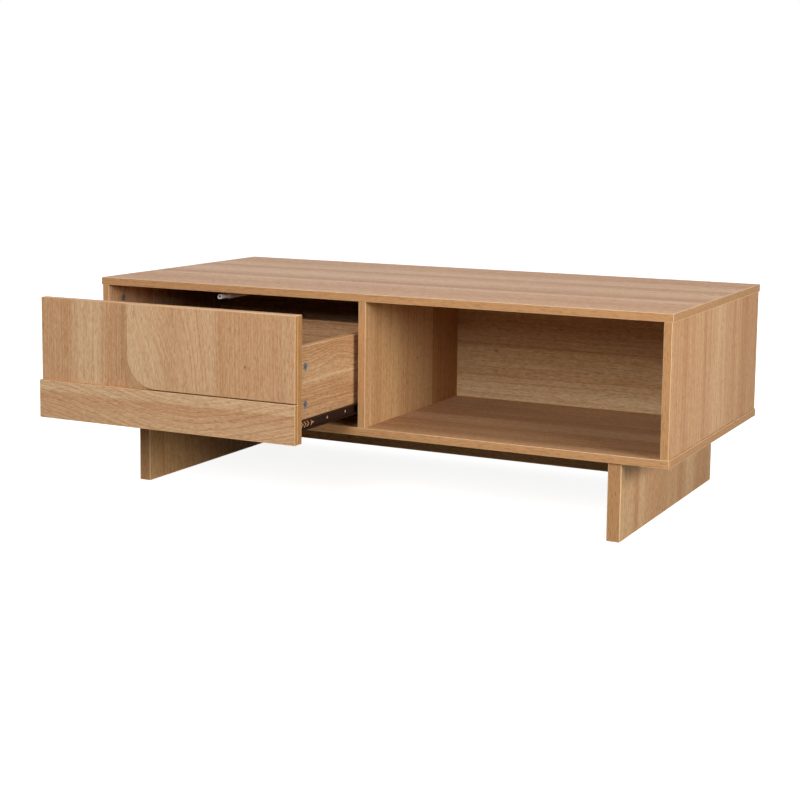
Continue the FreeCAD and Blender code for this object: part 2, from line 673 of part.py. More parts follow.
def drawer_joints(drawer, cam, dowel):
    """Cams in the drawer sides hold the front; cams in the back hold it between the sides."""
    locks = []
    bolts = []
    dowels = []
    setback = size.drawer_cam_setback
    low_cam = BOX_LOW + size.drawer_cam_low
    heights = (low_cam, low_cam + size.drawer_cam_spacing)
    dowel_z = low_cam + size.drawer_cam_spacing / 2
    inner_back = BOX_BACK - size.drawer_board
    back_middle = BOX_BACK - size.drawer_board / 2
    for side, outer_x, out_way in ((drawer.left, BOX_LEFT, "-x"), (drawer.right, BOX_RIGHT, "+x")):
        points = [(outer_x, BOX_FRONT + setback, height) for height in heights]
        cam_row(side, drawer.front, points, out_way, "-y", setback, locks, bolts)
        in_way = opposite(out_way)
        middle_x = moved((outer_x, ZERO, ZERO), in_way, size.drawer_board / 2)[0]
        dowel_row(side, drawer.front, [(middle_x, BOX_FRONT, dowel_z)], "-y", dowels)
        inner_x = moved((outer_x, ZERO, ZERO), in_way, size.drawer_board)[0]
        back_cam_x = moved((inner_x, ZERO, ZERO), in_way, setback)[0]
        back_points = [(back_cam_x, BOX_BACK, height) for height in heights]
        cam_row(drawer.back, side, back_points, "+y", out_way, setback, locks, bolts)
        dowel_row(drawer.back, side, [(inner_x, back_middle, dowel_z)], out_way, dowels)
    copies("drawer_cam_locks", cam, locks)
    copies("drawer_cam_bolts", bolt_pattern("drawer_bolt", setback), bolts)
    copies("drawer_dowels", dowel, dowels)


class Runner:
    """One two-part ball runner. Distances out from the bay wall are flipped on the right hand side."""

    def __init__(self, hand, wall_x, wall_way):
        self.hand = hand
        self.way = wall_way
        self.low_x = wall_x if wall_way == "+x" else wall_x - size.runner_space
        self.middle_z = BOX_LOW + size.slider_height / 2
        self.low_z = self.middle_z - size.runner_height / 2
        self.cage_near = size.runner_steel + size.runner_screw_head_length + size.cage_clearance
        self.front = FRONT + FRONT_DEPTH + size.runner_front_gap
        self.slider_front = BOX_FRONT + size.slider_front_gap

    def out(self, distance):
        """A distance out from the wall, in the runner's own frame."""
        return distance if self.way == "+x" else size.runner_space - distance

    def strip(self, label, front, length, profile):
        """A rolled strip along Y from a profile of distances out from the wall and heights."""
        body = new_body(label, (self.low_x, front, self.low_z))
        sketch = new_sketch(body, "y", ZERO)
        draw_outline(sketch, [(self.out(distance), height) for distance, height in profile])
        pad(body, sketch, "y", length)
        return body

    def fixed_member(self):
        steel = size.runner_steel
        reach = size.runner_space - size.runner_side_gap
        tall = size.runner_height
        lip = size.runner_lip
        inner = reach - steel
        body = self.strip(f"{self.hand}_runner_fixed_member", self.front, RUNNER_LENGTH, [
            (ZERO, ZERO), (reach, ZERO), (reach, lip), (inner, lip), (inner, steel), (steel, steel),
            (steel, tall - steel), (inner, tall - steel), (inner, tall - lip), (reach, tall - lip),
            (reach, tall), (ZERO, tall)])
        holes = new_sketch(body, "x", self.out(ZERO))
        for share in FIXED_SCREW_SHARES:
            draw_circle(holes, (RUNNER_LENGTH * share, tall / 2), hole_for(size.runner_screw_shank))
        pocket(body, holes, self.way, steel)

    def slider(self):
        steel = size.runner_steel
        wall = size.runner_space
        low = (size.runner_height - size.slider_height) / 2
        high = low + size.slider_height
        edge = self.cage_near + size.cage_steel + size.cage_clearance
        web = wall - steel
        body = self.strip(f"{self.hand}_runner_drawer_member", self.slider_front, RUNNER_LENGTH, [
            (wall, low), (wall, high), (edge, high), (edge, high - steel), (web, high - steel),
            (web, low + steel), (edge, low + steel), (edge, low)])
        self.cut_slider(body, self.out(web))

    def cut_slider(self, body, web_face):
        """Chevrons and an arrowhead that point to the back, open holes and screw holes."""
        middle = size.runner_height / 2
        half = size.chevron_height / 2
        cuts = new_sketch(body, "x", web_face)
        tips = [size.chevron_first + size.chevron_pitch * number for number in range(CHEVRONS)]
        for tip in tips:
            arm = tip - size.chevron_sweep
            stroke = size.chevron_stroke
            draw_outline(cuts, [(tip, middle), (arm, middle + half), (arm - stroke, middle + half),
                                (tip - stroke, middle), (arm - stroke, middle - half), (arm, middle - half)])
        tail = tips[-1] + size.arrow_gap
        draw_outline(cuts, [(tail + size.arrow_length, middle), (tail, middle + half),
                            (tail + size.arrow_notch, middle), (tail, middle - half)])
        for number in range(SLIDER_HOLES):
            along = size.slider_hole_first + size.slider_hole_pitch * number
            draw_circle(cuts, (along, middle), size.slider_hole)
        for share in SLIDER_SCREW_SHARES:
            draw_circle(cuts, (RUNNER_LENGTH * share, middle), hole_for(size.runner_screw_shank))
        pocket(body, cuts, self.way, size.runner_steel)

    def cage_and_balls(self, ball):
        """The cage and its two rows of balls, which roll half as far as the drawer moves."""
        overlap = size.runner_overlap + size.slider_front_gap - size.runner_front_gap
        length = overlap - size.cage_end_gap * 2
        front = self.front + size.cage_end_gap + size.drawer_travel_left / 2
        gap = (size.runner_height - size.slider_height) / 2 - size.runner_steel
        row_low = size.runner_steel + gap / 2
        rows = (row_low, size.runner_height - row_low)
        half = size.cage_steel / 2
        near = self.cage_near
        web = near + size.cage_steel
        edge = near + size.cage_flange
        low, high = rows
        body = self.strip(f"{self.hand}_runner_ball_cage", front, length, [
            (near, low - half), (edge, low - half), (edge, low + half), (web, low + half),
            (web, high - half), (edge, high - half), (edge, high + half), (near, high + half)])
        pitch = (length - size.cage_margin * 2) / (BALLS_PER_ROW - 1)
        row_y = [size.cage_margin + pitch * number for number in range(BALLS_PER_ROW)]
        ball_diameter = gap - size.ball_clearance * 2
        holes = new_sketch(body, "z", ZERO)
        for along in row_y:
            hole = ball_diameter + size.ball_clearance * 2
            draw_circle(holes, (self.out(size.ball_offset), along), hole)
        pocket(body, holes, "+z", size.runner_height)
        ball.setExpression("Radius", (ball_diameter / 2).formula)
        ball_x = self.low_x + self.out(size.ball_offset)
        centres = [(ball_x, front + along, self.low_z + row) for row in rows for along in row_y]
        copies(f"{self.hand}_runner_balls", ball, [(centre, FreeCAD.Rotation()) for centre in centres])

    def screw_places(self, wall_board, side_board):
        """Places of the screws in the bay wall and in the drawer side, whose pilot holes it drills."""
        wall_x = self.low_x + self.out(ZERO)
        side_x = self.low_x + self.out(size.runner_space)
        into_wall = opposite(self.way)
        fixed_rows = [self.front + RUNNER_LENGTH * share for share in FIXED_SCREW_SHARES]
        fixed = [(wall_x, row, self.middle_z) for row in fixed_rows]
        moving_rows = [self.slider_front + RUNNER_LENGTH * share for share in SLIDER_SCREW_SHARES]
        moving = [(side_x, row, self.middle_z) for row in moving_rows]
        pilot = size.runner_screw_length - size.runner_steel + size.fit_clearance
        wall_board.drill(into_wall, fixed, hole_for(size.runner_screw_shank), pilot)
        side_board.drill(self.way, moving, hole_for(size.runner_screw_shank), pilot)
        head_rise = size.runner_steel + size.runner_screw_head_length
        fixed_places = [(moved(point, self.way, head_rise), turned_to(into_wall, "+z")) for point in fixed]
        moving_places = [(moved(point, into_wall, head_rise), turned_to(self.way, "+z")) for point in moving]
        return fixed_places, moving_places


def runners(boards, drawer):
    """A runner on each side of the drawer, with the screws that hold it."""
    ball = document.addObject("Part::Sphere", "runner_ball")
    screw = turned("runner_screw", [(size.runner_screw_head_length, size.runner_screw_head),
                                    (size.runner_screw_length, size.runner_screw_shank)])
    fixed_places = []
    moving_places = []
    hands = (
        (Runner("left", -SIDE_FACE, "+x"), boards.left, drawer.left),
        (Runner("right", -DIVIDER_FACE, "-x"), boards.divider, drawer.right),
    )
    for runner, wall_board, side_board in hands:
        runner.fixed_member()
        runner.slider()
        runner.cage_and_balls(ball)
        fixed, moving = runner.screw_places(wall_board, side_board)
        fixed_places.extend(fixed)
        moving_places.extend(moving)
    copies("runner_wall_screws", screw, fixed_places)
    copies("runner_drawer_screws", screw, moving_places)


def round_piece(label, axis_point, steps):
    """A stepped round piece along +Y from a point, made of diameters, starts and lengths."""
    body = new_body(label, axis_point)
    for diameter, start, length in steps:
        sketch = new_sketch(body, "y", start)
        draw_circle(sketch, (ZERO, ZERO), diameter)
        pad(body, sketch, "y", length)
    return body


def bored(body, diameter, start, length):
    sketch = new_sketch(body, "y", start)
    draw_circle(sketch, (ZERO, ZERO), diameter)
    pocket(body, sketch, "+y", length)


def coil(label, axis_point, room):
    """A round wire spring along +Y that fills the room from its first to its last turn."""
    body = new_body(label, axis_point)
    sketch = new_sketch(body, "z", ZERO)
    wire = size.spring_wire
    first = size.spring_end_gap + wire / 2
    draw_circle(sketch, ((size.spring_outer - wire) / 2, first), wire)
    feature = body.newObject("PartDesign::AdditiveHelix", f"{label}_turns")
    feature.Profile = sketch
    feature.ReferenceAxis = (sketch, ["V_Axis"])
    feature.Mode = "height-turns-angle"
    feature.Turns = SPRING_TURNS
    feature.setExpression("Height", (room - first * 2).formula)
    document.recompute()


def push_latch(top):
    """A sprung plunger in a barrel under the top, which pushes the shut drawer open."""
    axis_x = -SIDE_FACE + size.latch_from_side
    bore = size.plunger_diameter + size.latch_clearance * 2
    barrel_diameter = bore + size.barrel_wall * 2
    drop = size.latch_standoff + barrel_diameter / 2
    axis_z = BAY_CEILING - drop
    tip_y = FRONT + FRONT_DEPTH + size.latch_front_gap
    mouth_y = tip_y + size.plunger_reach
    spring_room = size.spring_pressed + size.latch_stroke
    bore_length = size.plunger_seat + spring_room
    barrel = round_piece("push_latch_housing", (axis_x, mouth_y, axis_z), [
        (barrel_diameter + size.collar_rise * 2, ZERO, size.collar_length),
        (barrel_diameter, ZERO, bore_length + size.barrel_end)])
    plate_low = drop - size.latch_plate_thickness
    for half, low in ((size.latch_web / 2, ZERO), (size.latch_plate_width / 2, plate_low)):
        sketch = new_sketch(barrel, "y", size.latch_plate_start)
        draw_rectangle(sketch, (-half, low), (half, drop))
        pad(barrel, sketch, "y", size.latch_plate_length)
    bored(barrel, bore, ZERO, bore_length)
    screw_x = size.latch_plate_width / 2 - size.latch_screw_inset
    screw_rows = (size.latch_plate_start + size.latch_screw_inset,
                  size.latch_plate_start + size.latch_plate_length - size.latch_screw_inset)
    spots = [(across, row) for row in screw_rows for across in (-screw_x, screw_x)]
    holes = new_sketch(barrel, "z", plate_low)
    for spot in spots:
        draw_circle(holes, spot, hole_for(size.latch_screw_shank))
    pocket(barrel, holes, "+z", size.latch_plate_thickness)

    plunger = round_piece("push_latch_plunger", (axis_x, tip_y, axis_z), [
        (size.plunger_diameter, ZERO, size.plunger_reach + size.plunger_seat)])
    tip_back = size.tip_recess + size.tip_depth
    bored(plunger, hole_for(size.tip_diameter), ZERO, tip_back)
    round_piece("push_latch_tip", (axis_x, tip_y, axis_z), [
        (size.tip_diameter, size.tip_recess, size.tip_depth)])

    coil("push_latch_spring", (axis_x, mouth_y + size.plunger_seat, axis_z), spring_room)

    screw = turned("latch_screw", [(size.latch_screw_head_length, size.latch_screw_head),
                                   (size.latch_screw_length, size.latch_screw_shank)])
    mouths = [(axis_x + across, mouth_y + along, BAY_CEILING) for across, along in spots]
    pilot = size.latch_screw_length - size.latch_plate_thickness + size.fit_clearance
    top.drill("+z", mouths, hole_for(size.latch_screw_shank), pilot)
    head_drop = size.latch_plate_thickness + size.latch_screw_head_length
    places = [(moved(mouth, "-z", head_drop), turned_to("+z", "+x")) for mouth in mouths]
    copies("push_latch_screws", screw, places)


def check_and_write():
    """Stops on anything that failed to build, then writes each node's file."""
    document.recompute()
    for item in document.Objects:
        faults = [state for state in item.State if state in ("Invalid", "Error")]
        if faults:
            raise RuntimeError(f"{item.Label} is {faults}")
    for node in nodes:
        if node.Shape.isNull() or not node.Shape.isValid():
            raise RuntimeError(f"{node.Label} has no valid shape")
    os.makedirs("parts", exist_ok=True)
    for node in nodes:
        node.Shape.exportStep(f"parts/{node.Label}.step")
        print(f"{node.Label}: {len(node.Shape.Solids)} solids, {node.Shape.Volume:.0f} cubic millimetres")


carcase = carcase_boards()
base = base_boards()
drawer = drawer_boards()
cam_lock = cam_pattern()
wooden_dowel = dowel_pattern()
carcase_joints(carcase, cam_lock, wooden_dowel)
base_joints(base, carcase, cam_lock, wooden_dowel)
drawer_joints(drawer, cam_lock, wooden_dowel)
runners(carcase, drawer)
push_latch(carcase.top)
check_and_write()
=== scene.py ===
"""Dresses a low oak-laminate coffee table with one push-open drawer and one open shelf bay.

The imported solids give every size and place. Boards, cam locks, screws and the push latch are modelled
again with softened edges and real seats. Runners, ball cages, bolts and dowels keep their solids and get
finishes.
"""

import logging
import math
from collections.abc import Callable, Iterator, Sequence
from contextlib import contextmanager
from dataclasses import dataclass, field, replace
from enum import Enum

import bmesh
import bpy
from mathutils import Matrix, Vector


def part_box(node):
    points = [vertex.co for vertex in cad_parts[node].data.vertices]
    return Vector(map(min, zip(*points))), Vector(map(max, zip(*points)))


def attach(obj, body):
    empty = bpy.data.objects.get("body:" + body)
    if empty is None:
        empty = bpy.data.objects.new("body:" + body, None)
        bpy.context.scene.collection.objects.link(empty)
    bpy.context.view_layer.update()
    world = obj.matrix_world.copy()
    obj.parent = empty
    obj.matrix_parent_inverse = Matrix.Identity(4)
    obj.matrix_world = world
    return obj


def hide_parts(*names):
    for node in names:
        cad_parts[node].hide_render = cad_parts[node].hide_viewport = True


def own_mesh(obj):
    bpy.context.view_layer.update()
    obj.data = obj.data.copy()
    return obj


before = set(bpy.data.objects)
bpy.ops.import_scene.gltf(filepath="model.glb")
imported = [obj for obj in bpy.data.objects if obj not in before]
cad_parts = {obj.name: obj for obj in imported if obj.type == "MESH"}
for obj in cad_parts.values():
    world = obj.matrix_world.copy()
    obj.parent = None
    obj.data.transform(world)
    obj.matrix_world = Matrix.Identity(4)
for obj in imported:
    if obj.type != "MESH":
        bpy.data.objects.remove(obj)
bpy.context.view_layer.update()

LOG = logging.getLogger("coffee_table")
MM = 0.001
OVERRUN = 1.0 * MM
FLUSH = 0.05 * MM
WELD = 0.005 * MM
CLEARANCE = 0.1 * MM
SQUARE = 0.999
UPRIGHT = 0.00005
SHARP_ANGLE = math.radians(30)
SRGB_KNEE = 0.04045
SRGB_SLOPE = 12.92
SRGB_OFFSET = 0.055
SRGB_POWER = 2.4

Colour = tuple[float, float, float, float]
Pair = tuple[float, float]
Triple = tuple[float, float, float]
Profile = Sequence[Pair]
Value = float | Sequence[float] | bpy.types.NodeSocket


def srgb(red: int, green: int, blue: int) -> Colour:
    """Turns a screen colour into the linear colour that shaders take.

    Args:
        red: red part, 0 to 255.
        green: green part, 0 to 255.
        blue: blue part, 0 to 255.

    Returns:
        The linear colour with full alpha.
    """
    parts = [part / 255 for part in (red, green, blue)]
    linear = [part / SRGB_SLOPE if part <= SRGB_KNEE
              else ((part + SRGB_OFFSET) / (1 + SRGB_OFFSET)) ** SRGB_POWER for part in parts]
    return (linear[0], linear[1], linear[2], 1.0)


class Axis(Enum):
    """One of the three directions of the frame."""

    X = 0
    Y = 1
    Z = 2

    @property
    def unit(self) -> Vector:
        """Gives the unit vector along this axis."""
        return Vector([float(index == self.value) for index in range(3)])


class Body(Enum):
    """The bodies that new pieces ride on."""

    CARCASE = "carcase"
    DRAWER = "drawer"
    PLUNGER = "latch_plunger"


class Slot(Enum):
    """The record's material slots, listed with the new pieces."""

    OAK = "oak_laminate"
    FLOOR_BOARD = "drawer_floor_board"
    CAM = "cam_zinc"
    STEEL = "fastener_steel"
    RUNNER_SCREW = "runner_screw_black"
    LATCH_LIGHT = "latch_light_grey"
    LATCH_DARK = "latch_dark_grey"
    LATCH_TIP = "latch_brown_tip"


@dataclass(frozen=True)
class Noise:
    """A noise: features per metre along and across the grain, finer layers, and what its values become."""

    density: Triple
    detail: float = 0.0
    roughness: float = 0.5
    window: Pair = (0.0, 1.0)
    to: Pair = (0.0, 1.0)


class Graph:
    """Writes a shader node tree as nested calls."""

    def __init__(self, tree: bpy.types.NodeTree) -> None:
        """Keeps the tree that nodes go into."""
        self.tree = tree

    def feed(self, socket: bpy.types.NodeSocket, value: Value) -> None:
        """Links a socket to another, or sets its own value.

        Args:
            socket: the input to fill.
            value: an output socket, or a plain value.
        """
        if isinstance(value, bpy.types.NodeSocket):
            self.tree.links.new(value, socket)
        else:
            socket.default_value = value

    def add(self, kind: str, inputs: dict[str | int, Value] | None = None,
            **settings: object) -> bpy.types.Node:
        """Adds one node.

        Args:
            kind: the node's type without its prefix.
            inputs: values or sockets by input name or number.
            settings: the node's own properties.

        Returns:
            The new node.
        """
        node = self.tree.nodes.new("ShaderNode" + kind)
        for name, value in settings.items():
            setattr(node, name, value)
        for key, value in (inputs or {}).items():
            self.feed(node.inputs[key], value)
        return node

    def math(self, operation: str, first: Value, second: Value = 0.0,
             third: Value = 0.0) -> bpy.types.NodeSocket:
        """Adds a Math node.

        Args:
            operation: the node's operation.
            first: first value.
            second: second value.
            third: third value, for operations that take one.

        Returns:
            The result.
        """
        return self.add("Math", {0: first, 1: second, 2: third}, operation=operation).outputs[0]

    def span(self, value: Value, low: Value, high: Value, to: Pair = (0.0, 1.0),
             smooth: bool = False) -> bpy.types.NodeSocket:
        """Maps a range of values onto another, held at its ends.

        Args:
            value: the value to map.
            low: where the range starts.
            high: where the range ends.
            to: what the ends become.
            smooth: eases both ends.

        Returns:
            The mapped value.
        """
        ease = "SMOOTHSTEP" if smooth else "LINEAR"
        ends = {"Value": value, "From Min": low, "From Max": high, "To Min": to[0], "To Max": to[1]}
        return self.add("MapRange", ends, interpolation_type=ease).outputs["Result"]

    def vector(self, operation: str, first: Value, second: Value) -> bpy.types.NodeSocket:
        """Adds a Vector Math node that works part by part.

        Args:
            operation: the node's operation.
            first: first vector.
            second: second vector.

        Returns:
            The resulting vector.
        """
        return self.add("VectorMath", {0: first, 1: second}, operation=operation).outputs[0]

    def scale(self, vector: Value, factor: Value) -> bpy.types.NodeSocket:
        """Scales a vector as a whole.

        Args:
            vector: the vector.
            factor: the factor.

        Returns:
            The scaled vector.
        """
        return self.add("VectorMath", {0: vector, "Scale": factor}, operation="SCALE").outputs[0]

    def noise(self, vector: Value, noise: Noise) -> bpy.types.NodeSocket:
        """Adds a noise that is stretched along the axes.

        Args:
            vector: where the noise is read.
            noise: its description.

        Returns:
            The noise, mapped as described.
        """
        spot = self.vector("MULTIPLY", vector, noise.density)
        cloud = self.add("TexNoise", {"Vector": spot, "Scale": 1.0, "Detail": noise.detail,
                                      "Roughness": noise.roughness})
        return self.span(cloud.outputs["Fac"], *noise.window, noise.to)

    def mix(self, factor: Value, first: Value, second: Value, blend: str = "MIX") -> bpy.types.NodeSocket:
        """Mixes two colours.

        Args:
            factor: share of the second colour.
            first: first colour.
            second: second colour.
            blend: how they are mixed.

        Returns:
            The mixed colour.
        """
        node = self.add("Mix", {0: factor, 6: first, 7: second}, data_type="RGBA", blend_type=blend)
        return node.outputs[2]


class SocketKind(Enum):
    """Kinds of socket on an effect group."""

    NUMBER = "NodeSocketFloat"
    VECTOR = "NodeSocketVector"
    COLOUR = "NodeSocketColor"


class Effects:
    """Shader node groups that several finishes share."""

    DRIFT = Noise((1.1, 4.0, 4.0), 1.0, to=(-0.5, 0.5))
    RIPPLE = Noise((24.0, 11.0, 11.0), 1.0, to=(-1.5 * MM, 1.5 * MM))
    BAND = Noise((0.4, 21.0, 21.0), 2.0, 0.55, (0.32, 0.68), (-1.0, 1.0))
    RING_WANDER = Noise((0.6, 26.0, 26.0), to=(-14.0 * MM, 14.0 * MM))
    RING_WINDOW: Pair = (0.4, 0.99)
    RING_TONE: Pair = (0.2, -1.0)
    LINE = Noise((2.6, 340.0, 340.0), 1.0, window=(0.3, 0.7), to=(-1.0, 1.0))
    FIBRE = Noise((105.0, 560.0, 560.0), 2.0, 0.6, (0.3, 0.7), (-1.0, 1.0))
    FIBRE_ROUGHNESS = -0.04
    FIBRE_RELIEF = 0.3
    PORE = Noise((70.0, 640.0, 640.0), 1.0, window=(0.58, 0.68))
    PORE_TINT = srgb(150, 140, 130)
    PORE_ROUGHNESS = 0.12
    MIDDLE_TONE = 0.5
    FILM_ROUGHNESS = 0.46
    KNOT_FALL = -0.35
    KNOT_PULL: Triple = (0.0, -0.85, 0.0)
    KNOT_WINDOW: Pair = (0.25, 0.75)
    STREAK_WANDER = Noise((3.0, 0.0, 0.0), 1.0, to=(-6.0 * MM, 6.0 * MM))
    RUB = Noise((9.0, 420.0, 420.0), 3.0, 0.6, (0.52, 0.72))
    RUB_ROUGHNESS = -0.12
    RUB_RELIEF = 0.4
    PATCH = Noise((60.0, 90.0, 90.0), 2.0, window=(0.35, 0.65))
    GRIT = Noise((1500.0, 1500.0, 1500.0), 2.0)
    GRIT_WINDOW: Pair = (0.3, 0.7)
    GRIT_SHARE: Pair = (0.0, 0.35)
    GRIT_ROUGHNESS = 0.22
    SPECK = Noise((1.0, 1.0, 1.0), 3.0, 0.6)
    SPECK_WINDOW: Pair = (0.42, 0.68)
    CLOUD = Noise((0.13, 0.13, 0.13), 1.0)
    CLOUD_WINDOW: Pair = (0.2, 0.8)
    CLOUD_ROUGHNESS = 0.2

    def __init__(self) -> None:
        """Builds each group once."""
        self.oak_grain = self.build_oak_grain()
        self.placed_bend = self.build_placed_bend()
        self.placed_knot = self.build_placed_knot()
        self.placed_streak = self.build_placed_streak()
        self.rubbed_metal = self.build_rubbed_metal()
        self.fine_specks = self.build_fine_specks()

    @staticmethod
    def begin(name: str, inputs: dict[str, SocketKind],
              outputs: dict[str, SocketKind]) -> tuple[Graph, bpy.types.Node, bpy.types.Node]:
        """Starts a group with its named sockets.

        Args:
            name: the group's name.
            inputs: input names and kinds.
            outputs: output names and kinds.

        Returns:
            The group's graph, its input node and its output node.
        """
        tree = bpy.data.node_groups.new(name, "ShaderNodeTree")
        for label, kind in inputs.items():
            tree.interface.new_socket(name=label, in_out="INPUT", socket_type=kind.value)
        for label, kind in outputs.items():
            tree.interface.new_socket(name=label, in_out="OUTPUT", socket_type=kind.value)
        return Graph(tree), tree.nodes.new("NodeGroupInput"), tree.nodes.new("NodeGroupOutput")

    def build_oak_grain(self) -> bpy.types.NodeTree:
        """Builds the oak print: broad bands, growth rings, fibres and pores, with X along the grain.

        Returns:
            The group.
        """
        number, vector, colour = SocketKind.NUMBER, SocketKind.VECTOR, SocketKind.COLOUR
        graph, start, end = self.begin(
            "oak_grain",
            {"Vector": vector, "Fine Vector": vector, "Light": colour, "Dark": colour, "Bands": number,
             "Rings": number, "Ring Density": number, "Lines": number, "Fibre": number, "Pores": number,
             "Sway": number},
            {"Color": colour, "Roughness": number, "Height": number})
        given = start.outputs
        place, fine = given["Vector"], given["Fine Vector"]
        drift, ripple = graph.noise(place, self.DRIFT), graph.noise(place, self.RIPPLE)
        sway = graph.math("MULTIPLY_ADD", drift, given["Sway"], ripple)
        swayed = graph.vector("ADD", place, graph.add("CombineXYZ", {"Y": sway, "Z": sway}).outputs[0])
        across = graph.add("SeparateXYZ", {0: swayed}).outputs["Y"]
        wandering = graph.math("ADD", across, graph.noise(swayed, self.RING_WANDER))
        rounds = graph.math("MULTIPLY", wandering, given["Ring Density"])
        wave = graph.math("SINE", graph.math("MULTIPLY", rounds, math.tau))
        ring = graph.span(wave, *self.RING_WINDOW, self.RING_TONE, smooth=True)
        band, line = graph.noise(swayed, self.BAND), graph.noise(swayed, self.LINE)
        fibre, pore = graph.noise(fine, self.FIBRE), graph.noise(fine, self.PORE)
        tone: Value = self.MIDDLE_TONE
        for part, strength in ((band, "Bands"), (ring, "Rings"), (line, "Lines"), (fibre, "Fibre")):
            tone = graph.math("MULTIPLY_ADD", part, given[strength], tone)
        film = graph.mix(graph.span(tone, 0.0, 1.0), given["Dark"], given["Light"])
        deep = graph.mix(1.0, given["Dark"], self.PORE_TINT, "MULTIPLY")
        share = graph.math("MULTIPLY", pore, given["Pores"])
        graph.feed(end.inputs["Color"], graph.mix(share, film, deep))
        sheen = graph.math("MULTIPLY_ADD", fibre, self.FIBRE_ROUGHNESS, self.FILM_ROUGHNESS)
        graph.feed(end.inputs["Roughness"], graph.math("MULTIPLY_ADD", pore, self.PORE_ROUGHNESS, sheen))
        relief = graph.math("MULTIPLY", fibre, self.FIBRE_RELIEF)
        graph.feed(end.inputs["Height"], graph.math("SUBTRACT", relief, pore))
        return graph.tree

    def build_placed_bend(self) -> bpy.types.NodeTree:
        """Builds a bend that leads the figure aside round one spot.

        Returns:
            The group.
        """
        graph, start, end = self.begin(
            "placed_bend",
            {"Vector": SocketKind.VECTOR, "Centre": SocketKind.VECTOR, "Narrowness": SocketKind.VECTOR,
             "Depth": SocketKind.NUMBER},
            {"Vector": SocketKind.VECTOR})
        given = start.outputs
        away = graph.vector("SUBTRACT", given["Vector"], given["Centre"])
        near = graph.vector("MULTIPLY", away, given["Narrowness"])
        square = graph.add("VectorMath", {0: near, 1: near}, operation="DOT_PRODUCT").outputs["Value"]
        fall = graph.math("EXPONENT", graph.math("MULTIPLY", square, -1.0))
        push = graph.add("CombineXYZ", {"Y": graph.math("MULTIPLY", fall, given["Depth"])}).outputs[0]
        graph.feed(end.inputs["Vector"], graph.vector("ADD", given["Vector"], push))
        return graph.tree

    def build_placed_knot(self) -> bpy.types.NodeTree:
        """Builds a knot that parts the grain round one spot.

        Returns:
            The group.
        """
        graph, start, end = self.begin(
            "placed_knot",
            {"Vector": SocketKind.VECTOR, "Centre": SocketKind.VECTOR, "Shape": SocketKind.VECTOR,
             "Size": SocketKind.NUMBER},
            {"Vector": SocketKind.VECTOR, "Core": SocketKind.NUMBER})
        given = start.outputs
        away = graph.vector("SUBTRACT", given["Vector"], given["Centre"])
        flat = graph.vector("MULTIPLY", away, given["Shape"])
        reach = graph.add("VectorMath", {0: flat}, operation="LENGTH").outputs["Value"]
        near = graph.math("DIVIDE", reach, given["Size"])
        square = graph.math("MULTIPLY", near, near)
        fall = graph.math("EXPONENT", graph.math("MULTIPLY", square, self.KNOT_FALL))
        push = graph.scale(graph.vector("MULTIPLY", away, self.KNOT_PULL), fall)
        graph.feed(end.inputs["Vector"], graph.vector("ADD", given["Vector"], push))
        graph.feed(end.inputs["Core"], graph.span(near, *self.KNOT_WINDOW, (1.0, 0.0), smooth=True))
        return graph.tree

    def build_placed_streak(self) -> bpy.types.NodeTree:
        """Builds a lighter or darker stripe at one place across the grain, for the print and for painted
        light and shade.

        Returns:
            The group.
        """
        number = SocketKind.NUMBER
        graph, start, end = self.begin(
            "placed_streak",
            {"Vector": SocketKind.VECTOR, "Color": SocketKind.COLOUR, "Tint": SocketKind.COLOUR,
             "Centre": number, "Half Width": number, "Softness": number},
            {"Color": SocketKind.COLOUR})
        given = start.outputs
        wander = graph.noise(given["Vector"], self.STREAK_WANDER)
        across = graph.math("ADD", graph.add("SeparateXYZ", {0: given["Vector"]}).outputs["Y"], wander)
        off = graph.math("ABSOLUTE", graph.math("SUBTRACT", across, given["Centre"]))
        outer = graph.math("ADD", given["Half Width"], given["Softness"])
        mask = graph.span(off, given["Half Width"], outer, (1.0, 0.0), smooth=True)
        tinted = graph.mix(1.0, given["Color"], given["Tint"], "MULTIPLY")
        graph.feed(end.inputs["Color"], graph.mix(mask, given["Color"], tinted))
        return graph.tree

    def build_rubbed_metal(self) -> bpy.types.NodeTree:
        """Builds metal or its coating with rub marks along X.

        Returns:
            The group.
        """
        number = SocketKind.NUMBER
        graph, start, end = self.begin(
            "rubbed_metal",
            {"Vector": SocketKind.VECTOR, "Base": SocketKind.COLOUR, "Worn": SocketKind.COLOUR,
             "Wear": number, "Gloss": number},
            {"Color": SocketKind.COLOUR, "Roughness": number, "Height": number})
        given = start.outputs
        rub, patch = graph.noise(given["Vector"], self.RUB), graph.noise(given["Vector"], self.PATCH)
        mask = graph.math("MULTIPLY", graph.math("MULTIPLY", rub, patch), given["Wear"])
        grit = graph.noise(given["Vector"], self.GRIT)
        grained = graph.span(grit, *self.GRIT_WINDOW, self.GRIT_SHARE)
        shade = graph.mix(grained, given["Base"], given["Worn"])
        graph.feed(end.inputs["Color"], graph.mix(mask, shade, given["Worn"]))
        rough = graph.math("MULTIPLY_ADD", grit, self.GRIT_ROUGHNESS, given["Gloss"])
        graph.feed(end.inputs["Roughness"], graph.math("MULTIPLY_ADD", mask, self.RUB_ROUGHNESS, rough))
        graph.feed(end.inputs["Height"], graph.math("MULTIPLY_ADD", rub, self.RUB_RELIEF, grit))
        return graph.tree

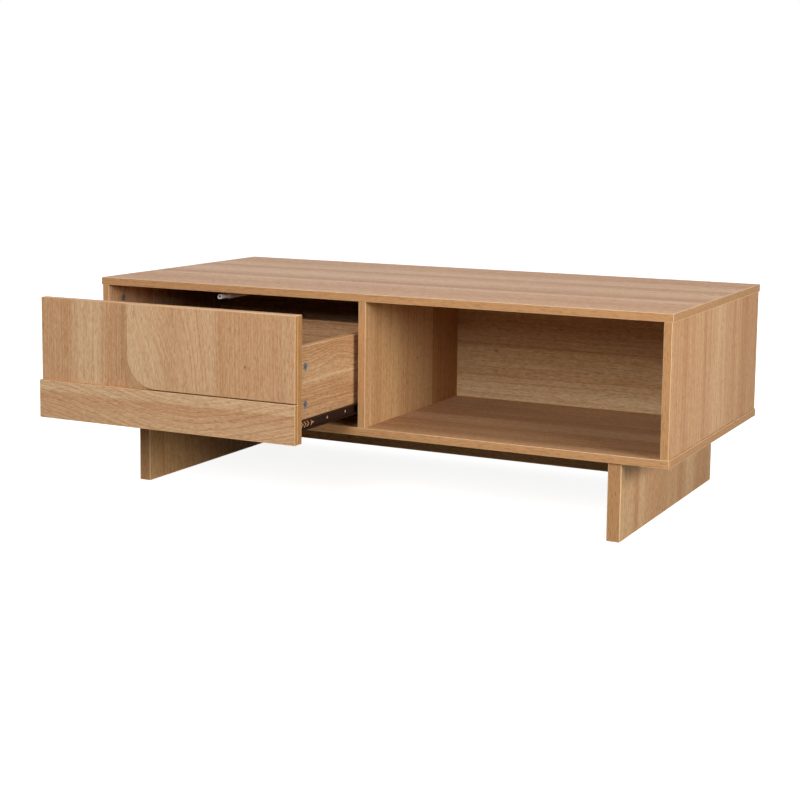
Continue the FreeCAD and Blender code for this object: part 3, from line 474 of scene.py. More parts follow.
    def build_fine_specks(self) -> bpy.types.NodeTree:
        """Builds a fine speckled surface, from moulded plastic to raw board.

        Returns:
            The group.
        """
        number = SocketKind.NUMBER
        graph, start, end = self.begin(
            "fine_specks",
            {"Vector": SocketKind.VECTOR, "Base": SocketKind.COLOUR, "Speck": SocketKind.COLOUR,
             "Scale": number, "Gloss": number},
            {"Color": SocketKind.COLOUR, "Roughness": number, "Height": number})
        given = start.outputs
        spot = graph.scale(given["Vector"], given["Scale"])
        grit, cloud = graph.noise(spot, self.SPECK), graph.noise(spot, self.CLOUD)
        speck = graph.math("MULTIPLY", graph.span(grit, *self.SPECK_WINDOW),
                           graph.span(cloud, *self.CLOUD_WINDOW))
        graph.feed(end.inputs["Color"], graph.mix(speck, given["Base"], given["Speck"]))
        rough = graph.math("MULTIPLY_ADD", cloud, self.CLOUD_ROUGHNESS, given["Gloss"])
        graph.feed(end.inputs["Roughness"], rough)
        graph.feed(end.inputs["Height"], grit)
        return graph.tree


def new_surface(name: str) -> tuple[bpy.types.Material, Graph, bpy.types.Node]:
    """Starts a material with one surface shader.

    Args:
        name: the material's name.

    Returns:
        The material, its graph and its Principled shader.
    """
    material = bpy.data.materials.new(name)
    material.use_nodes = True
    material.node_tree.nodes.clear()
    graph = Graph(material.node_tree)
    shader = graph.add("BsdfPrincipled")
    graph.add("OutputMaterial", {"Surface": shader.outputs[0]})
    return material, graph, shader


def lay_along(graph: Graph, along: Axis, across: Axis) -> bpy.types.NodeSocket:
    """Turns the table's own frame so that X runs along the grain and Y across it.

    Args:
        graph: the material's graph.
        along: the axis that becomes X.
        across: the axis that becomes Y.

    Returns:
        The turned place of each point.
    """
    rows = (along.unit, across.unit, along.unit.cross(across.unit))
    place = graph.add("TexCoord").outputs["Object"]
    return graph.add("Mapping", {"Vector": place, "Rotation": Matrix(rows).to_euler()}).outputs[0]


def dress_shader(graph: Graph, shader: bpy.types.Node, effect: bpy.types.Node, colour: Value, bump: float,
                 depth: float) -> None:
    """Feeds a colour and an effect's roughness and height to a shader.

    Args:
        graph: the material's graph.
        shader: its Principled shader.
        effect: the placed effect group.
        colour: the finished colour.
        bump: strength of the relief.
        depth: depth of the relief in metres.
    """
    relief = graph.add("Bump", {"Height": effect.outputs["Height"], "Strength": bump, "Distance": depth})
    graph.feed(shader.inputs["Base Color"], colour)
    graph.feed(shader.inputs["Roughness"], effect.outputs["Roughness"])
    graph.feed(shader.inputs["Normal"], relief.outputs[0])


@dataclass(frozen=True)
class Knot:
    """A knot at one spot in the table's own frame."""

    along: float
    across: float
    size: float
    core: float = 0.55
    slim: float = 0.3


@dataclass(frozen=True)
class Bend:
    """A spot in the table's own frame where the figure runs aside, and how far it reaches."""

    along: float
    across: float
    depth: float
    reach_along: float
    reach_across: float


@dataclass(frozen=True)
class Streak:
    """A lighter or darker stripe at one place across the grain, in the table's own frame: print, and in
    places painted light and shade.
    """

    centre: float
    half_width: float
    softness: float
    tint: Colour


# Streak tints: most mark the print; some carry painted light and painted shade, noted where they are used.
PALE: Colour = (1.09, 1.17, 1.24, 1.0)
SOFT_PALE: Colour = (1.04, 1.07, 1.1, 1.0)
SOFT_DEEP: Colour = (0.96, 0.92, 0.89, 1.0)
DEEP: Colour = (0.9, 0.84, 0.8, 1.0)
SHADED: Colour = (0.76, 0.68, 0.56, 1.0)
WARM_PALE: Colour = (1.09, 1.12, 1.1, 1.0)
WARM_LIGHT = srgb(207, 168, 127)
WARM_DARK = srgb(180, 130, 88)
FRONT_LIGHT = srgb(210, 174, 137)
FRONT_DARK = srgb(183, 136, 97)
KNOT_BROWN = srgb(112, 76, 46)


@dataclass(frozen=True)
class OakFinish:
    """Oak-print film on one board: which way it runs and how strong its figure is."""

    name: str
    along: Axis
    across: Axis
    light: Colour = srgb(210, 173, 134)
    dark: Colour = srgb(183, 135, 94)
    print_shift: Triple = (0.0, 0.0, 0.0)
    bands: float = 0.2
    rings: float = 0.1
    ring_density: float = 75.0
    lines: float = 0.24
    fibre: float = 0.4
    pores: float = 0.3
    sway: float = 0.03
    bends: tuple[Bend, ...] = ()
    knots: tuple[Knot, ...] = ()
    streaks: tuple[Streak, ...] = ()
    gloss: float = 0.025
    bump: float = 0.12
    bump_depth: float = 0.15 * MM

    def paint(self, effects: Effects) -> bpy.types.Material:
        """Builds the film's material.

        Args:
            effects: the shared node groups.

        Returns:
            The material.
        """
        material, graph, shader = new_surface(self.name)
        laid = lay_along(graph, self.along, self.across)
        figure, cores = laid, []
        for bend in self.bends:
            figure = graph.add("Group", {
                "Vector": figure, "Centre": (bend.along, bend.across, 0.0), "Depth": bend.depth,
                "Narrowness": (1 / bend.reach_along, 1 / bend.reach_across, 0.0),
            }, node_tree=effects.placed_bend).outputs["Vector"]
        for knot in self.knots:
            parted = graph.add("Group", {
                "Vector": figure, "Centre": (knot.along, knot.across, 0.0), "Shape": (knot.slim, 1.0, 0.0),
                "Size": knot.size,
            }, node_tree=effects.placed_knot)
            figure = parted.outputs["Vector"]
            cores.append(graph.math("MULTIPLY", parted.outputs["Core"], knot.core))
        moved = graph.add("Mapping", {"Vector": figure, "Location": self.print_shift}).outputs[0]
        fine = graph.add("Mapping", {"Vector": laid, "Location": self.print_shift}).outputs[0]
        grain = graph.add("Group", {
            "Vector": moved, "Fine Vector": fine, "Light": self.light, "Dark": self.dark,
            "Bands": self.bands, "Rings": self.rings, "Ring Density": self.ring_density,
            "Lines": self.lines, "Fibre": self.fibre, "Pores": self.pores, "Sway": self.sway,
        }, node_tree=effects.oak_grain)
        colour = grain.outputs["Color"]
        for streak in self.streaks:
            colour = graph.add("Group", {
                "Vector": laid, "Color": colour, "Tint": streak.tint, "Centre": streak.centre,
                "Half Width": streak.half_width, "Softness": streak.softness,
            }, node_tree=effects.placed_streak).outputs["Color"]
        for core in cores:
            colour = graph.mix(core, colour, KNOT_BROWN)
        graph.feed(shader.inputs["Specular IOR Level"], self.gloss)
        dress_shader(graph, shader, grain, colour, self.bump, self.bump_depth)
        return material


@dataclass(frozen=True)
class PaintedSlotLight:
    """Painted light on the walls of the punched chevrons and holes: a pale wood colour that stands in for
    the lit drawer side seen through them, and where those walls lie in the table's own frame.
    """

    middle: float
    reach: float
    low: float
    high: float
    colour: Colour = srgb(226, 186, 140)

    def mask(self, graph: Graph) -> bpy.types.NodeSocket:
        """Finds the walls that get the painted light.

        Args:
            graph: the material's graph.

        Returns:
            One on such a wall, else zero.
        """
        spot = graph.add("SeparateXYZ", {0: graph.add("TexCoord").outputs["Object"]}).outputs
        away = graph.math("ABSOLUTE", graph.math("SUBTRACT", spot["X"], self.middle))
        above = graph.math("GREATER_THAN", spot["Z"], self.low)
        between = graph.math("MULTIPLY", above, graph.math("LESS_THAN", spot["Z"], self.high))
        return graph.math("MULTIPLY", between, graph.math("LESS_THAN", away, self.reach))


@dataclass(frozen=True)
class MetalFinish:
    """Bare or coated metal with rub marks along one axis."""

    name: str
    base: Colour
    worn: Colour
    along: Axis
    across: Axis
    metallic: float
    gloss: float
    wear: float
    specular: float = 0.5
    bump: float = 0.08
    bump_depth: float = 0.05 * MM
    painted_slot_light: PaintedSlotLight | None = None

    def paint(self, effects: Effects) -> bpy.types.Material:
        """Builds the metal's material.

        Args:
            effects: the shared node groups.

        Returns:
            The material.
        """
        material, graph, shader = new_surface(self.name)
        laid = lay_along(graph, self.along, self.across)
        metal = graph.add("Group", {
            "Vector": laid, "Base": self.base, "Worn": self.worn, "Wear": self.wear, "Gloss": self.gloss,
        }, node_tree=effects.rubbed_metal)
        colour = metal.outputs["Color"]
        # Painted light: the walls of the punched chevrons and holes take a pale wood colour.
        if self.painted_slot_light:
            colour = graph.mix(self.painted_slot_light.mask(graph), colour, self.painted_slot_light.colour)
        graph.feed(shader.inputs["Metallic"], self.metallic)
        graph.feed(shader.inputs["Specular IOR Level"], self.specular)
        dress_shader(graph, shader, metal, colour, self.bump, self.bump_depth)
        return material


@dataclass(frozen=True)
class SpeckFinish:
    """Moulded plastic, beech or raw board: one colour with fine specks of another."""

    name: str
    base: Colour
    speck: Colour
    scale: float
    gloss: float
    bump: float
    bump_depth: float = 0.1 * MM

    def paint(self, effects: Effects) -> bpy.types.Material:
        """Builds the speckled material.

        Args:
            effects: the shared node groups.

        Returns:
            The material.
        """
        material, graph, shader = new_surface(self.name)
        specks = graph.add("Group", {
            "Vector": graph.add("TexCoord").outputs["Object"], "Base": self.base, "Speck": self.speck,
            "Scale": self.scale, "Gloss": self.gloss,
        }, node_tree=effects.fine_specks)
        dress_shader(graph, shader, specks, specks.outputs["Color"], self.bump, self.bump_depth)
        return material


Finish = OakFinish | MetalFinish | SpeckFinish


class Palette:
    """Makes each finish's material once and hands it out."""

    def __init__(self) -> None:
        """Builds the shared effects."""
        self.effects = Effects()
        self.made: dict[str, bpy.types.Material] = {}

    def get(self, finish: Finish) -> bpy.types.Material:
        """Gives a finish's material.

        Args:
            finish: the finish.

        Returns:
            Its material, made at the first call.
        """
        if finish.name not in self.made:
            self.made[finish.name] = finish.paint(self.effects)
        return self.made[finish.name]


def edge_bands(name: str, light: Colour, dark: Colour) -> dict[Axis, OakFinish]:
    """Describes the banding on narrow faces.

    Args:
        name: the banding's name.
        light: its lighter colour.
        dark: its darker colour.

    Returns:
        The finish for each way that a band may run.
    """
    ways = ((Axis.X, Axis.Y), (Axis.Y, Axis.Z), (Axis.Z, Axis.X))
    return {along: OakFinish(f"{name}_{along.name.lower()}", along, across, light, dark,
                             print_shift=(0.31, 0.12, 0.4), bands=0.08, rings=0.0, lines=0.14, fibre=0.24,
                             pores=0.35, sway=0.002)
            for along, across in ways}


EDGE_BANDS = edge_bands("edge_band", srgb(202, 157, 112), srgb(180, 131, 87))
PANEL_ENDS = edge_bands("panel_end", srgb(191, 149, 104), srgb(170, 124, 81))
FRONT_ENDS = edge_bands("front_end", srgb(193, 145, 94), srgb(172, 121, 73))
LEG_BANDS = edge_bands("leg_band", srgb(194, 151, 109), srgb(172, 126, 84))
PANEL_BANDS = {**EDGE_BANDS, Axis.Y: PANEL_ENDS[Axis.Y]}
DRAWER_BANDS = {**EDGE_BANDS, Axis.Z: FRONT_ENDS[Axis.Z]}
# Rounded corner strips are lighter than the banding: a painted highlight along the softened edges.
BAND_CORNER_HIGHLIGHT = SpeckFinish("band_corner_painted_highlight", srgb(218, 177, 131), srgb(203, 156, 109),
                          scale=420.0, gloss=0.38, bump=0.05)
RAW_BOARD = SpeckFinish("raw_board", srgb(150, 116, 80), srgb(92, 66, 42), scale=600.0, gloss=0.8, bump=0.5)
CAM_ZINC = MetalFinish("cam_zinc_cast", srgb(128, 133, 134), srgb(192, 196, 198), Axis.X, Axis.Y,
                       metallic=0.7, gloss=0.34, wear=0.6)
BRIGHT_STEEL = MetalFinish("bright_steel", srgb(176, 178, 180), srgb(214, 216, 218), Axis.Y, Axis.Z,
                           metallic=1.0, gloss=0.22, wear=0.5)
SCREW_STEEL = MetalFinish("screw_steel", srgb(150, 150, 148), srgb(205, 205, 203), Axis.Z, Axis.X,
                          metallic=1.0, gloss=0.25, wear=0.6)
RUNNER_COAT = MetalFinish("runner_coat", srgb(44, 28, 20), srgb(60, 41, 31), Axis.Y, Axis.Z,
                          metallic=0.0, gloss=0.45, wear=0.4, specular=0.06)
RUNNER_SCREW = MetalFinish("runner_screw_coat", srgb(42, 28, 21), srgb(68, 51, 41), Axis.Y, Axis.Z,
                           metallic=0.0, gloss=0.4, wear=0.4, specular=0.1)
CAGE_STEEL = MetalFinish("cage_strip", srgb(150, 148, 142), srgb(196, 195, 190), Axis.Y, Axis.Z,
                         metallic=0.95, gloss=0.28, wear=0.6)
# The latch plastics are a light grey, raised further in colour as painted light where the top shades the
# latch.
LATCH_LIGHT = SpeckFinish("latch_light_plastic_painted_light", srgb(236, 240, 246), srgb(222, 227, 235),
                          scale=1600.0, gloss=0.3, bump=0.12)
LATCH_DARK = SpeckFinish("latch_grey_plastic_painted_light", srgb(206, 211, 219), srgb(186, 192, 201),
                         scale=1600.0, gloss=0.34, bump=0.15)
LATCH_TIP = SpeckFinish("latch_tip_rubber", srgb(122, 78, 50), srgb(98, 60, 38),
                        scale=1400.0, gloss=0.6, bump=0.2)
BEECH = SpeckFinish("dowel_beech_raw", srgb(214, 180, 138), srgb(180, 140, 96),
                    scale=900.0, gloss=0.62, bump=0.25)


def select_only(*pieces: bpy.types.Object) -> None:
    """Selects these objects alone, the first one active.

    Args:
        pieces: the objects to select.
    """
    bpy.ops.object.select_all(action="DESELECT")
    for piece in pieces:
        piece.select_set(True)
    bpy.context.view_layer.objects.active = pieces[0]


@contextmanager
def editing(piece: bpy.types.Object) -> Iterator[None]:
    """Opens a piece in edit mode with nothing selected, and closes it again.

    Args:
        piece: the piece to edit.

    Yields:
        Nothing, while the piece is open.
    """
    select_only(piece)
    bpy.ops.object.mode_set(mode="EDIT")
    bpy.ops.mesh.select_mode(type="EDGE")
    bpy.ops.mesh.select_all(action="DESELECT")
    yield
    bpy.ops.object.mode_set(mode="OBJECT")


def select_edges(piece: bpy.types.Object, test: Callable[[bmesh.types.BMEdge], bool]) -> None:
    """Selects the edges that pass a test, in edit mode.

    Args:
        piece: the piece in edit mode.
        test: says whether an edge is wanted.
    """
    bpy.ops.mesh.select_all(action="DESELECT")
    mesh = bmesh.from_edit_mesh(piece.data)
    for edge in mesh.edges:
        edge.select_set(test(edge))
    mesh.select_flush_mode()
    bmesh.update_edit_mesh(piece.data)


def is_sharp(edge: bmesh.types.BMEdge) -> bool:
    """Tells whether two faces meet at a sharp angle on this edge."""
    return len(edge.link_faces) == 2 and edge.calc_face_angle() > SHARP_ANGLE


def named(piece: bpy.types.Object, name: str) -> bpy.types.Object:
    """Names an object and its mesh alike."""
    piece.name = piece.data.name = name
    return piece


def new_box(name: str, low: Vector, high: Vector) -> bpy.types.Object:
    """Adds a box between two corners, with its place in its mesh.

    Args:
        name: the piece's name.
        low: lowest corner.
        high: highest corner.

    Returns:
        The box.
    """
    bpy.ops.object.select_all(action="DESELECT")
    bpy.ops.mesh.primitive_cube_add(size=1.0, location=(low + high) / 2)
    piece = bpy.context.active_object
    piece.scale = high - low
    bpy.ops.object.transform_apply(location=True, rotation=True, scale=True)
    return named(piece, name)


def new_turning(name: str, profile: Profile, sides: int) -> bpy.types.Object:
    """Turns a piece about Z: a disc is extruded and scaled from one point of its profile to the next.

    Args:
        name: the piece's name.
        profile: radius and height of each ring, in metres, from the first cap to the last.
        sides: points round each ring.

    Returns:
        The turned piece.
    """
    radius, height = profile[0]
    bpy.ops.object.select_all(action="DESELECT")
    bpy.ops.mesh.primitive_circle_add(vertices=sides, radius=radius, fill_type="NGON",
                                      location=(0, 0, height))
    piece = named(bpy.context.active_object, name)
    bpy.ops.object.transform_apply(location=True, rotation=True, scale=True)
    with editing(piece):
        bpy.ops.mesh.select_all(action="SELECT")
        for next_radius, next_height in profile[1:]:
            rise = (0, 0, next_height - height)
            bpy.ops.mesh.extrude_region_move(TRANSFORM_OT_translate={"value": rise})
            share = next_radius / radius
            bpy.ops.transform.resize(value=(share, share, 1.0), center_override=(0, 0, next_height))
            radius, height = next_radius, next_height
        bpy.ops.mesh.select_all(action="SELECT")
        bpy.ops.mesh.normals_make_consistent(inside=False)
    bpy.ops.object.shade_smooth_by_angle(angle=SHARP_ANGLE)
    return piece


def combine(piece: bpy.types.Object, other: bpy.types.Object, operation: str) -> None:
    """Adds or cuts one piece with another, which is used up.

    Args:
        piece: the piece that stays.
        other: the piece that is joined or taken away.
        operation: UNION or DIFFERENCE.
    """
    select_only(piece)
    modifier = piece.modifiers.new("combine", "BOOLEAN")
    modifier.operation = operation
    modifier.solver = "EXACT"
    modifier.material_mode = "TRANSFER"
    modifier.object = other
    bpy.ops.object.modifier_apply(modifier=modifier.name)
    bpy.data.objects.remove(other)


def move_mesh(piece: bpy.types.Object, matrix: Matrix) -> None:
    """Moves a piece and applies the move to its mesh.

    Args:
        piece: the piece to move.
        matrix: the move.
    """
    select_only(piece)
    piece.matrix_world = matrix @ piece.matrix_world
    bpy.ops.object.transform_apply(location=True, rotation=True, scale=True)


def cut_cross(piece: bpy.types.Object, length: float, width: float, depth: float) -> None:
    """Cuts a cross into a piece that was modelled with its face up at the origin.

    Args:
        piece: the piece to cut.
        length: length of the cross from end to end.
        width: width of its arms.
        depth: its depth below the face.
    """
    for across, along in ((length, width), (width, length)):
        low, high = Vector((-across / 2, -along / 2, -depth)), Vector((across / 2, along / 2, OVERRUN))
        combine(piece, new_box("cross_cutter", low, high), "DIFFERENCE")


def hand_over(piece: bpy.types.Object, body: Body, slot: Slot, *nodes: str) -> bpy.types.Object:
    """Puts a finished piece on its body in place of its CAD nodes.

    Args:
        piece: the finished piece.
        body: the body that it rides on.
        slot: the material slot meant for it; not used.
        nodes: the CAD nodes that it stands for.

    Returns:
        The piece.
    """
    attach(piece, body.value)
    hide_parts(*nodes)
    return piece


def coat_node(node: str, material: bpy.types.Material) -> bpy.types.Object:
    """Gives a CAD node a finish.

    Args:
        node: the node's name.
        material: its new material.

    Returns:
        The node's object.
    """
    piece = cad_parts[node]
    for slot in piece.material_slots:
        slot.material = material
    return piece


def solids_of(node: str) -> list[list[Vector]]:
    """Splits a node's mesh into its separate solids.

    Args:
        node: the node's name.

    Returns:
        The points of each solid.
    """
    mesh = bmesh.new()
    mesh.from_mesh(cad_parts[node].data)
    bmesh.ops.remove_doubles(mesh, verts=mesh.verts, dist=WELD)
    left, solids = set(mesh.verts), []
    for seed in list(mesh.verts):
        if seed not in left:
            continue
        left.discard(seed)
        island, waiting = [seed], [seed]
        while waiting:
            point = waiting.pop()
            near = [edge.other_vert(point) for edge in point.link_edges]
            fresh = [other for other in near if other in left]
            left.difference_update(fresh)
            waiting.extend(fresh)
            island.extend(fresh)
        solids.append([point.co.copy() for point in island])
    mesh.free()
    return solids


@dataclass(frozen=True)
class Seat:
    """Where one fastener sits: the middle of its outer face and the way it looks, its width and depth."""

    place: Vector
    outward: Vector
    width: float
    depth: float

    def matrix(self, turn: float = 0.0) -> Matrix:
        """Places a fastener that was modelled with its face up at the origin.

        Args:
            turn: how far it is turned about its own axis.

        Returns:
            The placing matrix.
        """
        upright = self.outward.to_track_quat("Z", "Y").to_matrix().to_4x4()
        return Matrix.Translation(self.place) @ upright @ Matrix.Rotation(turn, 4, "Z")

    def is_on(self, node: str) -> bool:
        """Tells whether the seat opens on a board's face.

        Args:
            node: the board's node.

        Returns:
            True where the board carries the seat.
        """
        low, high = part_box(node)
        face = Vector([high[i] if self.outward[i] > 0 else low[i] for i in range(3)])
        level = abs((self.place - face).dot(self.outward)) < FLUSH
        return level and all(low[i] - FLUSH <= self.place[i] <= high[i] + FLUSH for i in range(3))


def seats_of(node: str, boards: Sequence[str] = ()) -> list[Seat]:
    """Reads where a node's fasteners sit.

    Args:
        node: the fasteners' node.
        boards: boards whose faces the fasteners are flush with; without them the end with most points is
            the head.

    Returns:
        One seat for each solid.
    """
    seats = []
    for points in solids_of(node):
        low = Vector([min(point[i] for point in points) for i in range(3)])
        high = Vector([max(point[i] for point in points) for i in range(3)])
        spans, middle = high - low, (low + high) / 2
        thin, mid, long = sorted(range(3), key=lambda i: spans[i])
        axis = thin if spans[mid] - spans[thin] > spans[long] - spans[mid] else long
        ways = [Vector([float(i == axis) * sign for i in range(3)]) for sign in (1, -1)]
        both = [Seat(middle + way * (spans[axis] / 2), way, spans[mid], spans[axis]) for way in ways]
        if boards:
            seats.extend(seat for seat in both if any(seat.is_on(board) for board in boards))
        else:
            mean = sum(point[axis] for point in points) / len(points)
            seats.append(both[0] if mean > middle[axis] else both[1])
    return seats


def set_out(template: bpy.types.Object, name: str, places: Sequence[Matrix]) -> bpy.types.Object:
    """Copies a template to each place and joins the copies.

    Args:
        template: the piece modelled once, which is used up.
        name: the joined piece's name.
        places: where each copy goes.

    Returns:
        The joined piece.
    """
    copies = []
    for place in places:
        copy = template.copy()
        copy.data = template.data.copy()
        bpy.context.collection.objects.link(copy)
        move_mesh(copy, place)
        copies.append(copy)
    bpy.data.objects.remove(template)
    select_only(*copies)
    bpy.ops.object.join()
    return named(copies[0], name)


class FaceKind(Enum):
    """A board's material slots, in their order."""

    FILM = 0
    FIRST_BAND = 1
    SECOND_BAND = 2
    CORNER = 3


@dataclass
class Board:
    """One laminated board: softened corners, banded narrow faces and seats for its hardware."""

    node: str
    body: Body
    face: OakFinish
    slot: Slot = Slot.OAK
    bands: dict[Axis, OakFinish] = field(default_factory=lambda: EDGE_BANDS)
    edge_radius: float = 0.8 * MM
    edge_steps: int = 3
    round_corner: float = 0.0
    round_steps: int = 24
    seat_sides: int = 48
    narrowest_band: float = 1.0 * MM

    def build(self, palette: Palette, seats: Sequence[Seat], seat_depths: float | None = None,
              grooves: Sequence[str] = ()) -> bpy.types.Object:
        """Models and dresses the board.

        Args:
            palette: the materials.
            seats: seats of hardware that may be on this board.
            seat_depths: depth of those seats, where only the head is sunk.
            grooves: thin boards that stand in this one.

        Returns:
            The finished board.
        """
        low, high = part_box(self.node)
        piece = new_box(self.node + "_board", low, high)
        with editing(piece):
            if self.round_corner:
                select_edges(piece, lambda edge: all(
                    abs(point.co.x - low.x) < FLUSH and abs(point.co.z - low.z) < FLUSH
                    for point in edge.verts))
                bpy.ops.mesh.bevel(offset=self.round_corner, segments=self.round_steps, affect="EDGES")
            select_edges(piece, is_sharp)
            bpy.ops.mesh.bevel(offset=self.edge_radius, segments=self.edge_steps, affect="EDGES")
        self.dress(piece, palette)
        for seat in seats:
            if seat.is_on(self.node):
                self.cut_seat(piece, palette, seat, seat_depths or seat.depth)
        for groove in grooves:
            self.cut_groove(piece, palette, groove)
        return hand_over(piece, self.body, self.slot, self.node)

    def dress(self, piece: bpy.types.Object, palette: Palette) -> None:
        """Gives broad faces the film, narrow faces the banding and rounded corners their own lighter strip,
        a painted highlight.

        Args:
            piece: the board.
            palette: the materials.
        """
        low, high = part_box(self.node)
        spans = high - low
        thick = min(range(3), key=lambda i: spans[i])
        first, second = [axis for axis in Axis if axis.value != thick]
        for finish in (self.face, self.bands[first], self.bands[second], BAND_CORNER_HIGHLIGHT):
            piece.data.materials.append(palette.get(finish))
        for polygon in piece.data.polygons:
            main = max(range(3), key=lambda i: abs(polygon.normal[i]))
            square = abs(polygon.normal[main]) > SQUARE
            upright = abs(polygon.normal[thick]) < UPRIGHT
            wide = polygon.area > self.narrowest_band * spans[thick]
            if square and main == thick:
                kind = FaceKind.FILM
            elif square or (upright and wide):
                kind = FaceKind.SECOND_BAND if main == first.value else FaceKind.FIRST_BAND
            else:
                kind = FaceKind.CORNER
            polygon.material_index = kind.value
            polygon.use_smooth = not square

    def cut_seat(self, piece: bpy.types.Object, palette: Palette, seat: Seat, depth: float) -> None:
        """Bores the seat of one fastener.

        Args:
            piece: the board.
            palette: the materials.
            seat: where the fastener sits.
            depth: how deep its seat is.
        """
        radius = seat.width / 2 + CLEARANCE
        outline = [(radius, -depth - CLEARANCE), (radius, OVERRUN)]
        cutter = new_turning("seat_cutter", outline, self.seat_sides)
        cutter.data.materials.append(palette.get(RAW_BOARD))
        move_mesh(cutter, seat.matrix())
        combine(piece, cutter, "DIFFERENCE")

    def cut_groove(self, piece: bpy.types.Object, palette: Palette, groove: str) -> None:
        """Cuts the groove that a thin board stands in.

        Args:
            piece: the board.
            palette: the materials.
            groove: the thin board's node.
        """
        low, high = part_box(groove)
        room = Vector((CLEARANCE, CLEARANCE, CLEARANCE))
        cutter = new_box("groove_cutter", low - room, high + room)
        cutter.data.materials.append(palette.get(RAW_BOARD))
        combine(piece, cutter, "DIFFERENCE")


@dataclass
class CamLocks:
    """Zinc cams, flush in their boards: rim, cross slot and a pointer that shows the way to the bolt."""

    node: str
    body: Body
    boards: Sequence[str]
    rim: float = 0.5 * MM
    land: float = 1.2 * MM
    dish: float = 1.4 * MM
    slot_length: float = 10.0 * MM
    slot_width: float = 2.2 * MM
    slot_depth: float = 2.5 * MM
    pointer: float = 1.1 * MM
    pointer_depth: float = 0.4 * MM
    pointer_place: float = 0.52
    pointer_sides: int = 3
    turn_step: float = math.radians(37)
    sides: int = 48
    seats: list[Seat] = field(init=False)

    def __post_init__(self) -> None:
        """Reads where the cams sit."""
        self.seats = seats_of(self.node, self.boards)

    def build(self, palette: Palette) -> bpy.types.Object:
        """Models one cam and sets a copy in each seat.

        Args:
            palette: the materials.

        Returns:
            The finished cams.
        """
        radius, depth = self.seats[0].width / 2, self.seats[0].depth
        outline = [(radius - self.rim, -depth), (radius, self.rim - depth), (radius, -self.rim / 2),
                   (radius - self.rim, 0.0), (radius - self.land, 0.0), (radius - self.dish, -self.rim / 2)]
        cam = new_turning("cam", outline, self.sides)
        cam.data.materials.append(palette.get(CAM_ZINC))
        cut_cross(cam, self.slot_length, self.slot_width, self.slot_depth)
        outline = [(self.pointer, -self.rim - self.pointer_depth), (self.pointer, OVERRUN)]
        point = new_turning("pointer_cutter", outline, self.pointer_sides)
        aside = radius * self.pointer_place
        move_mesh(point, Matrix.Translation((aside, aside, 0.0)))
        combine(cam, point, "DIFFERENCE")
        turns = [seat.matrix(self.turn_step * number) for number, seat in enumerate(self.seats)]
        piece = set_out(cam, self.node + "_set", turns)
        return hand_over(piece, self.body, Slot.CAM, self.node)


@dataclass(frozen=True)
class ScrewShape:
    """Sizes of one kind of screw: head, cross recess, shank, thread and point."""

    head_height: float
    shank_radius: float
    thread_radius: float
    shank_length: float
    recess_length: float
    recess_width: float
    recess_share: float = 0.7
    dome: float = 0.3 * MM
    dome_share: float = 0.3
    crown_share: float = 0.6
    thread_pitch: float = 1.8 * MM
    thread_depth: float = 0.5 * MM
    point_share: float = 0.2

    def profile(self, radius: float, depth: float) -> list[Pair]:
        """Draws the screw from its point up to the middle of its head.

        Args:
            radius: radius of the head.
            depth: length from head to point.

        Returns:
            Radius and height of each ring.
        """
        start = -self.head_height - self.shank_length
        rings = [(self.thread_radius * self.point_share, -depth)]
        height = -depth + self.thread_pitch
        while height + self.thread_pitch < start:
            rings.append((self.thread_radius - self.thread_depth, height))
            rings.append((self.thread_radius, height + self.thread_pitch / 2))
            height += self.thread_pitch
        return rings + [(self.shank_radius, start), (self.shank_radius, -self.head_height),
                        (radius, -self.head_height), (radius, -self.dome),
                        (radius - self.dome, -self.dome * self.dome_share),
                        (radius * self.crown_share, 0.0)]


@dataclass
class Screws:
    """Screws of one kind, each in its place."""

    node: str
    body: Body
    finish: MetalFinish
    slot: Slot
    shape: ScrewShape
    turn_step: float = 1.0
    sides: int = 28
    seats: list[Seat] = field(init=False)

    def __post_init__(self) -> None:
        """Reads where the screws sit."""
        self.seats = seats_of(self.node)

    def build(self, palette: Palette) -> bpy.types.Object:
        """Models one screw and sets a copy in each place.

        Args:
            palette: the materials.

        Returns:
            The finished screws.
        """
        shape = self.shape
        outline = shape.profile(self.seats[0].width / 2, self.seats[0].depth)
        screw = new_turning("screw", outline, self.sides)
        screw.data.materials.append(palette.get(self.finish))
        cut_cross(screw, shape.recess_length, shape.recess_width, shape.head_height * shape.recess_share)
        turns = [seat.matrix(self.turn_step * number) for number, seat in enumerate(self.seats)]
        piece = set_out(screw, self.node + "_set", turns)
        return hand_over(piece, self.body, self.slot, self.node)


